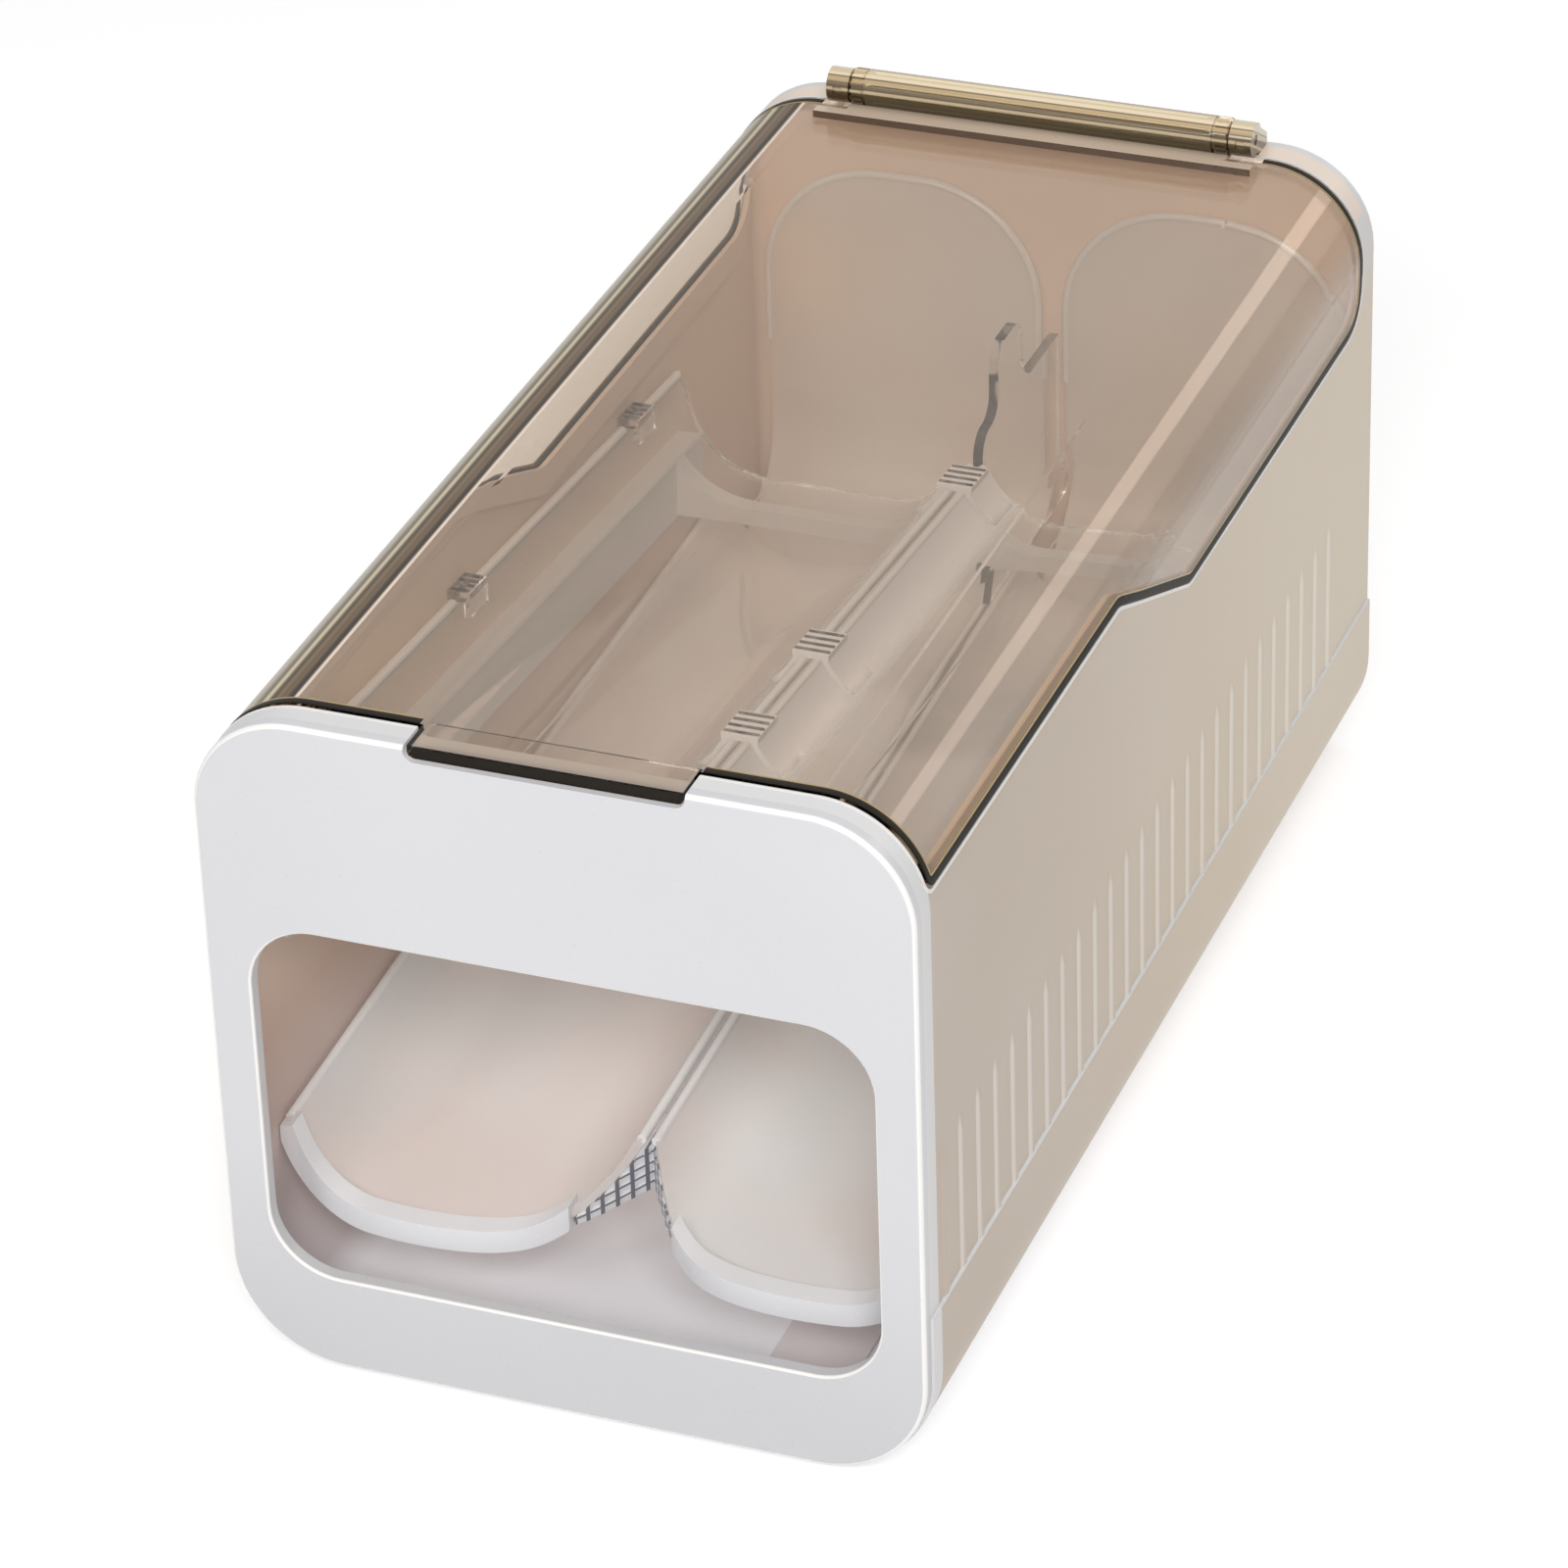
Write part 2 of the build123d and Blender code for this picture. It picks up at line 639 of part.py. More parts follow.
def upper_rail():
    """Right-hand rail on the side wall, shaped to the underside of the lane."""
    bar = Pos(INNER_X - RAIL_DEPTH / 2, (RAIL_RISE - RAIL_DROP) / 2)
    bar *= Rectangle(RAIL_DEPTH, RAIL_RISE + RAIL_DROP)
    return along_upper(bar, UPPER_START, UPPER_END) - upper_filled()


def upper_beam(place):
    """Cross beam between the rails, shaped to the underside of both lanes."""
    half = BEAM_THICKNESS / 2
    x_reach = INNER_X - RAIL_DEPTH
    low, high = -BEAM_DROP, RIDGE_RISE - BEAM_RIDGE_GAP
    bar = Pos(0, (low + high) / 2) * Rectangle(2 * x_reach, high - low)
    beam = along_upper(bar, place - half, place + half) - upper_filled()
    return beam.solids().sort_by(SortBy.VOLUME)[-1]


def lower_cradle(place):
    """Upright plate on the body's floor, shaped to the underside of the lanes."""
    half = CRADLE_THICKNESS / 2
    plate = prism(body_outline(WALL + CRADLE_GAP), FRONT + place - half, FRONT + place + half)
    top = RIDGE_RISE - BEAM_RIDGE_GAP
    ridge_line = Pos(0, (top - HEIGHT) / 2) * Rectangle(WIDTH, top + HEIGHT)
    plate &= along_lower(ridge_line, 0, DEPTH)
    plate -= lower_filled()
    return plate.solids().sort_by(SortBy.VOLUME)[-1]


def side_clips():
    """Small hooks on both side walls, over the outer edge of the upper lanes."""
    edge = LANE_THICKNESS / 2 * LANE_WALL_SPREAD / hypot(LANE_WALL_SPREAD, UPPER_WALL_RISE)
    low = UPPER_WALL_RISE + edge + SIDE_CLIP_GAP
    cap = Pos(INNER_X - SIDE_CLIP_REACH / 2, low + SIDE_CLIP_CAP / 2)
    cap *= Rectangle(SIDE_CLIP_REACH, SIDE_CLIP_CAP)
    lip_x = INNER_X - SIDE_CLIP_REACH + SIDE_CLIP_LIP / 2
    lip = Pos(lip_x, low - SIDE_CLIP_LIP_DROP / 2)
    lip *= Rectangle(SIDE_CLIP_LIP, SIDE_CLIP_LIP_DROP)
    hook = cap + lip
    half = SIDE_CLIP_LENGTH / 2
    places = [UPPER_START + run for run in SIDE_CLIPS_FROM_START]
    clips = []
    for place in (*places, UPPER_END - SIDE_CLIP_FROM_END):
        clip = along_upper(hook, place - half, place + half) - along_upper(
            lane_sheet(UPPER_WALL_RISE, SIDE_CLIP_GAP), 0, DEPTH
        )
        clips += [clip, other_side(clip)]
    return clips


def rear_chute():
    """Right-hand curved sheet with a rounded top, from the back wall to the lane."""
    y_wall = INNER_BACK - CHUTE_WALL_GAP - CHUTE_THICKNESS / 2
    y_lane = FRONT + LOWER_END + CHUTE_LANE_GAP
    rise = tan(radians(LOWER_SLOPE_DEGREES))
    z_lane = LOWER_FLOOR + (LOWER_END + CHUTE_LANE_GAP - LOWER_START) * rise
    z_corner = z_lane + (y_wall - y_lane) * rise
    path = FilletPolyline(
        (y_wall, CHUTE_TOP), (y_wall, z_corner), (y_lane, z_lane), radius=CHUTE_BEND_RADIUS
    )
    sheet = side_prism(trace(path, line_width=CHUTE_THICKNESS), CHUTE_INNER, CHUTE_OUTER)
    outline = arched_outline(
        CHUTE_OUTER - CHUTE_INNER, 0, CHUTE_TOP, 0, CHUTE_TOP_RADIUS
    )
    middle_x = (CHUTE_INNER + CHUTE_OUTER) / 2
    return sheet & prism(Pos(middle_x, 0) * outline, FRONT, BACK)


def drop_divider():
    """Upright clear plate before the back wall that keeps the two drops apart."""
    y_start = FRONT + UPPER_END + DIVIDER_LANE_GAP
    y_end = INNER_BACK - DIVIDER_WALL_GAP
    ridge = RIDGE_RISE + DIVIDER_RIDGE_GAP + LANE_THICKNESS / 2
    low_points = []
    for y in (y_start, y_end):
        floor = LOWER_FLOOR + (y - FRONT - LOWER_START) * tan(radians(LOWER_SLOPE_DEGREES))
        low_points.append((y, floor + ridge))
    tab_start = y_start + DIVIDER_TAB_SETBACK
    tab_end = tab_start + DIVIDER_TAB_LENGTH
    tab = [
        (tab_end, DIVIDER_TOP),
        (tab_end, DIVIDER_TAB_TOP),
        (tab_start, DIVIDER_TAB_TOP),
        (tab_start, DIVIDER_TOP),
    ]
    corners = [*low_points, (y_end, DIVIDER_TOP), *tab, (y_start, DIVIDER_TOP)]
    profile = make_face(Polyline(*corners, close=True))
    for y, z in (*tab, (y_start, DIVIDER_TOP)):
        corner = profile.vertices().sort_by_distance(Vector(y, z))[0]
        profile = fillet(corner, DIVIDER_CORNER)
    return side_prism(profile, -DIVIDER_THICKNESS / 2, DIVIDER_THICKNESS / 2)


def foot(x, y):
    """Round anti-slip pad in a shallow recess under the body."""
    height = FOOT_PROUD + FOOT_RECESS
    pad = Pos(x, y, height / 2) * Cylinder(FOOT_RADIUS, height)
    return chamfer(pad.faces().sort_by(Axis.Z)[0].edges(), FOOT_PROUD / 2)


def floor_pad():
    """Thin darker pad on the body's floor behind the window."""
    x_end = WIDTH / 2 - BOTTOM_RADIUS - PAD_CORNER_GAP
    place = Pos(x_end - PAD_WIDTH / 2, FRONT + PAD_SETBACK + PAD_DEPTH / 2, FLOOR_TOP)
    outline = RectangleRounded(PAD_WIDTH, PAD_DEPTH, PAD_RADIUS)
    return place * extrude(outline, amount=PAD_THICKNESS)


def save(name, shape):
    """Write one sub-part to its own file."""
    pieces = shape if isinstance(shape, list) else [shape]
    solids = [solid for piece in pieces for solid in piece.solids()]
    if len(solids) > 1:
        export_step(Compound(label=name, children=solids), f"parts/{name}.step")
    else:
        export_step(solids[0], f"parts/{name}.step")


save("body_shell", body_shell())
save("front_panel", front_panel())
save("lid", lid())

save("hinge_barrel", hinge_barrel())
save("hinge_leaf", hinge_leaf())
save("hinge_pin", hinge_cylinder(PIN_RADIUS, -PIN_LENGTH / 2, PIN_LENGTH / 2))

for piece_name, piece in {
    "hinge_lug": hinge_lug(),
    "upper_lane": upper_lane(),
    "upper_rail": upper_rail(),
    "lower_lane": lower_lane(),
    "egg_stop": egg_stop(),
    "rear_chute": rear_chute(),
}.items():
    save(f"{piece_name}_right", piece)
    save(f"{piece_name}_left", other_side(piece))

save("upper_beam_front", upper_beam(UPPER_START + BEAM_FROM_START))
save("upper_beam_rear", upper_beam(UPPER_END - BEAM_FROM_END))
for cradle_name, cradle_run in CRADLES_FROM_START.items():
    save(f"lower_cradle_{cradle_name}", lower_cradle(LOWER_START + cradle_run))
save("lower_cradle_rear", lower_cradle(LOWER_END - CRADLE_FROM_END))

save("upper_ridge_clips", upper_ridge_clips())
save("lower_ridge_cap", lower_ridge_cap())
save("upper_side_clips", side_clips())
save("drop_divider", drop_divider())
save("floor_pad", floor_pad())
for foot_name, (foot_x, foot_y) in foot_places().items():
    save(foot_name, foot(foot_x, foot_y))
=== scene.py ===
"""Looks of the two-tier egg dispenser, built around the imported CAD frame.

All lengths are in metres. X runs across the width, Y from the front to the back and Z up.
"""

import json
import logging
import math
from dataclasses import dataclass, field
from enum import Enum

import bmesh
import bpy
from mathutils import Matrix, Vector

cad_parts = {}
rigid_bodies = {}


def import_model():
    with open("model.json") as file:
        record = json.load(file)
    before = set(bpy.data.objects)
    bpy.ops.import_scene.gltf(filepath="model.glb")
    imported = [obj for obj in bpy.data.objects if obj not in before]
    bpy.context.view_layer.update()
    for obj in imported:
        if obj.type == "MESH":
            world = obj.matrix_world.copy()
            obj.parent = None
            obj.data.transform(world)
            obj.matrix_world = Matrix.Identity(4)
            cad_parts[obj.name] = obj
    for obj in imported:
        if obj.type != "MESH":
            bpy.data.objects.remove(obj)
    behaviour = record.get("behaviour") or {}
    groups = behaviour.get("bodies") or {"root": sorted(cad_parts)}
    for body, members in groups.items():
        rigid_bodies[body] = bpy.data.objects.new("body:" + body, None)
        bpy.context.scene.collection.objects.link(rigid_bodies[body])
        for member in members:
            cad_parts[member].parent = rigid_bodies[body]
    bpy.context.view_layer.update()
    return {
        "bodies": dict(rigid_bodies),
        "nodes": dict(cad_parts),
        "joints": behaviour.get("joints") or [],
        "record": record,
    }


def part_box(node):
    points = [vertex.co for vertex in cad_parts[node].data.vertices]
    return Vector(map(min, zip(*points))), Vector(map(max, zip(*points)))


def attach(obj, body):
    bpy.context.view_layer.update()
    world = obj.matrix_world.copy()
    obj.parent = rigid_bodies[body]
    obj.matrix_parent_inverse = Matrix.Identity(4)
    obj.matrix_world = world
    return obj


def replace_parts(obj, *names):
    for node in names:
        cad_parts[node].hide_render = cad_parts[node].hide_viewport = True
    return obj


LOG = logging.getLogger("egg_dispenser")
MM = 0.001

Colour = tuple[float, float, float]
Boxes = dict[str, tuple[Vector, Vector]]
Ring = list[Vector]
Span = tuple[float, float]
# X, rise above the lane's floor and setback from its front, at the ridge and at the wall.
Edges = tuple[tuple[float, float, float], tuple[float, float, float]]
Socket = bpy.types.NodeSocket

UP = Vector((0, 0, 1)).freeze()
BACKWARD = Vector((0, 1, 0)).freeze()

# Rays that carry light onwards, and rays by which a surface is looked at.
CARRYING = ("Is Shadow Ray", "Is Diffuse Ray")
LOOKING = ("Is Camera Ray", "Is Glossy Ray", "Is Transmission Ray")


def grey(level: float) -> Colour:
    """The same level on all three channels."""
    return (level, level, level)


class Body(Enum):
    """Rigid bodies of the dispenser."""

    ROOT = "root"
    LID = "lid"


class Reading(Enum):
    """What a material reads of its surface, in the piece's own frame."""

    POINT = "Object"
    NORMAL = "Normal"


class Graph:
    """The nodes of a material or of the world, with short calls to add and join them."""

    def __init__(self, owner: bpy.types.ID, output: str) -> None:
        """Start with an output alone.

        Args:
            owner: The material or the world.
            output: Blender's name of the output's node type.
        """
        self.owner = owner
        owner.use_nodes = True
        self.tree = owner.node_tree
        self.tree.nodes.clear()
        self.output = self.add(output)

    @classmethod
    def material(cls, name: str) -> "Graph":
        """The graph of a new material."""
        return cls(bpy.data.materials.new(name), "ShaderNodeOutputMaterial")

    def add(self, kind: str, **settings: object) -> bpy.types.Node:
        """Add a node and set its properties.

        Args:
            kind: Blender's name of the node type.
            settings: Values of the node's own properties.

        Returns:
            The new node.
        """
        node = self.tree.nodes.new(kind)
        for key, value in settings.items():
            setattr(node, key, value)
        return node

    def feed(self, socket: Socket, value: object) -> None:
        """Join an output to a socket, or set the socket's own value.

        Args:
            socket: The input to fill.
            value: An output socket, a number, or a colour of three or four channels.
        """
        if isinstance(value, Socket):
            self.tree.links.new(value, socket)
        elif isinstance(value, tuple) and len(value) == 3 and socket.type == "RGBA":
            socket.default_value = (*value, 1.0)
        else:
            socket.default_value = value

    def math(self, operation: str, *values: object) -> Socket:
        """Add a Math node.

        Args:
            operation: Blender's name of the operation.
            values: Its inputs in order.

        Returns:
            The result's socket.
        """
        node = self.add("ShaderNodeMath", operation=operation)
        for socket, value in zip(node.inputs, values):
            self.feed(socket, value)
        return node.outputs[0]

    def product(self, first: object, *others: object) -> Socket:
        """Multiply values.

        Args:
            first: A socket or a number.
            others: What it is multiplied by, in order.

        Returns:
            The result's socket.
        """
        for value in others:
            first = self.math("MULTIPLY", first, value)
        return first

    def swing(self, value: object, base: float, width: float) -> Socket:
        """Stretch a value from 0 to 1, so that it runs from base to base plus width."""
        return self.math("MULTIPLY_ADD", value, width, base)

    def step(self, value: object, low: float, high: float) -> Socket:
        """A smooth rise from 0 at low to 1 at high.

        Args:
            value: The socket that is read.
            low: Where the rise begins.
            high: Where it ends.

        Returns:
            The result's socket.
        """
        node = self.add("ShaderNodeMapRange", interpolation_type="SMOOTHSTEP")
        for name, item in (("Value", value), ("From Min", low), ("From Max", high)):
            self.feed(node.inputs[name], item)
        return node.outputs["Result"]

    def blend(self, share: object, first: object, second: object) -> Socket:
        """Mix two colours.

        Args:
            share: How much of the second colour shows, from 0 to 1.
            first: A colour or a colour socket.
            second: A colour or a colour socket.

        Returns:
            The mixed colour's socket.
        """
        node = self.add("ShaderNodeMix", data_type="RGBA")
        self.feed(node.inputs["Factor"], share)
        colours = [socket for socket in node.inputs if socket.type == "RGBA"]
        self.feed(colours[0], first)
        self.feed(colours[1], second)
        return next(socket for socket in node.outputs if socket.type == "RGBA")

    def ramp(self, value: object, stops: tuple[tuple[float, Colour], ...]) -> Socket:
        """Colours along a value from 0 to 1.

        Args:
            value: The socket that is read.
            stops: Places and colours in order.

        Returns:
            The colour's socket.
        """
        node = self.add("ShaderNodeValToRGB")
        band = node.color_ramp.elements
        while len(band) < len(stops):
            band.new(0.5)
        for element, (place, colour) in zip(band, stops):
            element.position = place
            element.color = (*colour, 1.0)
        self.feed(node.inputs[0], value)
        return node.outputs[0]

    def read(self, reading: Reading) -> tuple[Socket, ...]:
        """Read the surface's point or its normal.

        Args:
            reading: Which of the two.

        Returns:
            Its X, Y and Z, as three sockets.
        """
        split = self.add("ShaderNodeSeparateXYZ")
        self.feed(split.inputs[0], self.add("ShaderNodeTexCoord").outputs[reading.value])
        return tuple(split.outputs)

    def noise(self, scale: float, detail: float, stretch: Vector | None = None) -> Socket:
        """Noise from the point in the piece's own frame.

        Args:
            scale: Waves per metre.
            detail: Octaves.
            stretch: Factors along each axis, for streaks.

        Returns:
            The noise's value socket.
        """
        coordinates = self.add("ShaderNodeTexCoord")
        mapping = self.add("ShaderNodeMapping")
        mapping.inputs["Scale"].default_value = stretch or Vector((1, 1, 1))
        node = self.add("ShaderNodeTexNoise")
        self.feed(mapping.inputs[0], coordinates.outputs[Reading.POINT.value])
        self.feed(node.inputs["Vector"], mapping.outputs[0])
        self.feed(node.inputs["Scale"], scale)
        self.feed(node.inputs["Detail"], detail)
        return node.outputs[0]

    def bump(self, height: object, depth: float) -> Socket:
        """A bumped normal.

        Args:
            height: Socket with the height.
            depth: Depth of the bumps in metres.

        Returns:
            The normal's socket.
        """
        node = self.add("ShaderNodeBump")
        self.feed(node.inputs["Height"], height)
        self.feed(node.inputs["Distance"], depth)
        return node.outputs[0]

    def principled(self, **sockets: object) -> bpy.types.Node:
        """A Principled shader.

        Args:
            sockets: Values by socket name, with underscores for spaces.

        Returns:
            The shader's node.
        """
        node = self.add("ShaderNodeBsdfPrincipled")
        for name, value in sockets.items():
            self.feed(node.inputs[name.replace("_", " ")], value)
        return node

    def see_through(self, passed: Colour) -> Socket:
        """A shader that lets light straight through.

        Args:
            passed: The share of each channel that gets through.

        Returns:
            The shader's socket.
        """
        node = self.add("ShaderNodeBsdfTransparent")
        self.feed(node.inputs[0], passed)
        return node.outputs[0]

    def layer(self, share: object, under: Socket, over: Socket) -> Socket:
        """Mix two shaders.

        Args:
            share: How much of the upper one shows, from 0 to 1.
            under: The lower shader.
            over: The upper shader.

        Returns:
            The mixed shader's socket.
        """
        node = self.add("ShaderNodeMixShader")
        for socket, value in zip(node.inputs, (share, under, over)):
            self.feed(socket, value)
        return node.outputs[0]

    def rays(self, kinds: tuple[str, ...]) -> Socket:
        """Tell some kinds of rays from the others.

        Args:
            kinds: Names of the Light Path node's outputs.

        Returns:
            A socket with 1 for these kinds and 0 for all others.
        """
        path = self.add("ShaderNodeLightPath")
        result = path.outputs[kinds[0]]
        for kind in kinds[1:]:
            result = self.math("MAXIMUM", result, path.outputs[kind])
        return result

    def slant(self, blend: float) -> Socket:
        """Tell how edge on a surface is seen.

        Args:
            blend: The Layer Weight node's blend.

        Returns:
            A socket from 0, seen squarely, to 1, seen edge on.
        """
        node = self.add("ShaderNodeLayerWeight")
        self.feed(node.inputs["Blend"], blend)
        return node.outputs["Facing"]

    def show(self, shader: Socket) -> bpy.types.ID:
        """Join a shader to the output and return the material or the world."""
        self.tree.links.new(shader, self.output.inputs["Surface"])
        return self.owner


@dataclass(frozen=True)
class MouldedPlastic:
    """Opaque moulded plastic with a fine satin grain, optionally with painted shade towards the
    foot, painted highlights on rounded edges and a painted shadow on faces that look forward.
    """

    name: str
    colour: Colour
    shade: Colour
    roughness: float
    roughness_swing: float = 0.14
    grain: float = 900.0
    grain_depth: float = 0.04 * MM
    cloud: float = 9.0
    cloud_edges: Span = (0.3, 0.7)
    specular: float = 0.5
    # Painted shade towards the foot: its strength, its colour and the height where it has faded
    # out.
    painted_foot_shade: float = 0.0
    painted_foot_shade_colour: Colour = grey(0.3)
    painted_foot_shade_height: float = 75.0 * MM
    # Painted highlight on rounded edges: its strength, colour and the normal's turn where it
    # lies.
    painted_edge_highlight: float = 0.0
    painted_edge_highlight_colour: Colour = (0.97, 0.95, 0.92)
    painted_edge_highlight_turn: Span = (0.60, 0.34)
    # Painted shadow: a dark colour on faces that look forward, and how far forward they must
    # look.
    painted_front_shadow: Colour | None = None
    painted_front_shadow_turn: float = -0.7

    def make(self) -> bpy.types.Material:
        """Build the material.

        Returns:
            The new material.
        """
        graph = Graph.material(self.name)
        cloud = graph.step(graph.noise(self.cloud, detail=3.0), *self.cloud_edges)
        grain = graph.noise(self.grain, detail=4.0)
        colour = graph.blend(cloud, self.colour, self.shade)
        # Painted shade: the colour darkens towards the foot.
        if self.painted_foot_shade > 0:
            height = graph.read(Reading.POINT)[2]
            low = graph.product(graph.step(height, self.painted_foot_shade_height, 0.0), self.painted_foot_shade)
            colour = graph.blend(low, colour, self.painted_foot_shade_colour)
        # Painted shadow: faces looking forward take the dark colour.
        if self.painted_front_shadow:
            ahead = graph.math("LESS_THAN", graph.read(Reading.NORMAL)[1], self.painted_front_shadow_turn)
            colour = graph.blend(ahead, colour, self.painted_front_shadow)
        # Painted highlight: a pale line where the normal turns part way between front and side.
        if self.painted_edge_highlight > 0:
            turn = graph.math("ABSOLUTE", graph.read(Reading.NORMAL)[1])
            painted_highlight_share = graph.math("COMPARE", turn, *self.painted_edge_highlight_turn)
            painted_highlight_share = graph.product(painted_highlight_share, self.painted_edge_highlight)
            colour = graph.blend(painted_highlight_share, colour, self.painted_edge_highlight_colour)
        smoothest = self.roughness - self.roughness_swing / 2
        shader = graph.principled(
            Base_Color=colour,
            Roughness=graph.swing(grain, smoothest, self.roughness_swing),
            Specular_IOR_Level=self.specular,
            Normal=graph.bump(grain, self.grain_depth),
        )
        return graph.show(shader.outputs[0])


@dataclass(frozen=True)
class ShellPlastic:
    """The body's warm plastic, paler on the front rim and the back arch, with painted light:
    shade towards the front of the sides, highlights and shade on the ribs' flanks, a highlight on
    the plinth's ledge and shade on the inner walls.
    """

    name: str
    near: Colour
    far: Colour
    rim: Colour
    inner: Colour
    inner_tones_and_shade: tuple[tuple[float, Colour], ...]
    rim_back: float
    half_depth: float
    inner_x: float
    inner_back: float
    arch_front: float
    height: float
    plinth: float = 43.0 * MM
    ledge: float = 0.4 * MM
    slack: float = 0.3 * MM
    arch_rise: Span = (120.0 * MM, 150.0 * MM)
    arch_turn: Span = (0.9, 0.2)
    rib_x: float = 78.6 * MM
    rib_reach: float = 142.0 * MM
    rib_turn: Span = (0.05, 0.35)
    painted_rib_highlight: float = 0.35
    painted_rib_shade: float = 0.25
    inner_depth: Span = (-150.0 * MM, 60.0 * MM)
    inner_share: float = 0.75
    cloud: float = 7.0
    cloud_edges: Span = (0.35, 0.75)
    cloud_share: float = 0.10
    grain: float = 1100.0
    grain_depth: float = 0.03 * MM
    roughness: float = 0.36
    roughness_swing: float = 0.12
    specular: float = 0.32

    def outside(self, graph: Graph) -> Socket:
        """Colour of the outer surfaces.

        Args:
            graph: The material's graph.

        Returns:
            The colour's socket.
        """
        x, y, z = graph.read(Reading.POINT)
        turn = graph.read(Reading.NORMAL)[1]
        # The sides darken towards the front and lighten towards the back: painted shade over the
        # plastic's warm tone.
        along = graph.step(y, -self.half_depth, self.half_depth)
        side = graph.blend(along, self.near, self.far)
        on_ribs = graph.product(
            graph.math("GREATER_THAN", graph.math("ABSOLUTE", x), self.rib_x),
            graph.math("LESS_THAN", graph.math("ABSOLUTE", y), self.rib_reach),
        )
        # Painted light on the ribs: flanks that face forward get a painted highlight, flanks that
        # face back painted shade.
        painted_rib_flanks = ((-1, self.painted_rib_highlight, grey(0.95)), (1, self.painted_rib_shade, grey(0.25)))
        for way, share, tone in painted_rib_flanks:
            flank = graph.step(turn, *(way * limit for limit in self.rib_turn))
            side = graph.blend(graph.product(flank, on_ribs, share), side, tone)
        arch = graph.product(
            graph.math("GREATER_THAN", y, self.arch_front),
            graph.step(turn, *self.arch_turn),
            graph.step(z, *self.arch_rise),
        )
        pale = graph.math("MAXIMUM", graph.math("LESS_THAN", y, self.rim_back), arch)
        # Painted highlight: a pale line along the top of the plinth's ledge.
        ledge = graph.math("COMPARE", z, self.plinth, self.ledge)
        return graph.blend(graph.math("MAXIMUM", pale, ledge), side, self.rim)

    def make(self) -> bpy.types.Material:
        """Build the material.

        Returns:
            The new material.
        """
        graph = Graph.material(self.name)
        x, y, z = graph.read(Reading.POINT)
        inside = graph.product(
            graph.math("LESS_THAN", graph.math("ABSOLUTE", x), self.inner_x + self.slack),
            graph.math("LESS_THAN", y, self.inner_back + self.slack),
            graph.math("GREATER_THAN", y, self.rim_back),
        )
        # Inner walls by height: pale floor, painted shade at the foot and at mid height, pale
        # warm near the top; towards the back they blend into the plain inner colour.
        stops = tuple((level / self.height, tone) for level, tone in self.inner_tones_and_shade)
        wall = graph.ramp(graph.product(z, 1.0 / self.height), stops)
        backward = graph.product(graph.step(y, *self.inner_depth), self.inner_share)
        wall = graph.blend(backward, wall, self.inner)
        colour = graph.blend(inside, self.outside(graph), wall)
        cloud = graph.step(graph.noise(self.cloud, detail=3.0), *self.cloud_edges)
        colour = graph.blend(graph.product(cloud, self.cloud_share), colour, grey(0.95))
        grain = graph.noise(self.grain, detail=4.0)
        shader = graph.principled(
            Base_Color=colour,
            Roughness=graph.swing(grain, self.roughness, self.roughness_swing),
            Specular_IOR_Level=self.specular,
            Normal=graph.bump(grain, self.grain_depth),
        )
        return graph.show(shader.outputs[0])


@dataclass(frozen=True)
class PaintedCornerBands:
    """Painted dark lines and highlights along the lid's rounded corner, standing in for how the
    plastic bends and reflects light there; they show where it is seen edge on.
    """

    tones: tuple[tuple[float, Colour], ...]
    cover: float = 0.97
    slant_blend: float = 0.5
    slant_edges: Span = (0.54, 0.56)
    soft: float = 0.4 * MM
    roughness: float = 0.35
    specular: float = 0.15

    def over(self, graph: Graph, surface: Socket) -> Socket:
        """Lay the painted bands over a clear surface.

        Args:
            graph: The material's graph.
            surface: The clear surface.

        Returns:
            The surface with the bands over it.
        """
        first, last = self.tones[0][0], self.tones[-1][0]
        across = graph.math("ABSOLUTE", graph.read(Reading.POINT)[0])
        share = graph.math("DIVIDE", graph.math("SUBTRACT", across, first), last - first)
        stops = tuple(((place - first) / (last - first), tone) for place, tone in self.tones)
        solid = graph.principled(
            Base_Color=graph.ramp(share, stops),
            Roughness=self.roughness,
            Specular_IOR_Level=self.specular,
        )
        cover = graph.product(
            graph.step(graph.slant(self.slant_blend), *self.slant_edges),
            graph.step(across, first - self.soft, first),
            graph.step(across, last + self.soft, last),
            self.cover,
        )
        return graph.layer(cover, surface, solid.outputs[0])


@dataclass(frozen=True)
class HazeAndRidgeHighlight:
    """A faint haze over the lanes, and a milky painted highlight along the ridge between them."""

    end: float
    haze: float = 0.05
    # How milky the painted highlight along the ridge is.
    ridge: float = 0.95
    edges: Span = (12.0 * MM, 7.2 * MM)
    slack: float = 0.5 * MM
    colour: Colour = (0.98, 0.98, 1.0)
    roughness: float = 0.35

    def over(self, graph: Graph, surface: Socket) -> Socket:
        """Lay the haze and the painted highlight over a clear surface.

        Args:
            graph: The material's graph.
            surface: The clear surface.

        Returns:
            The surface with the haze over it.
        """
        x, y, _ = graph.read(Reading.POINT)
        # Painted highlight: near the ridge the haze turns milky.
        near = graph.step(graph.math("ABSOLUTE", x), *self.edges)
        near = graph.product(near, graph.math("LESS_THAN", y, self.end + self.slack))
        milk = graph.principled(Base_Color=self.colour, Roughness=self.roughness)
        return graph.layer(graph.swing(near, self.haze, self.ridge), surface, milk.outputs[0])


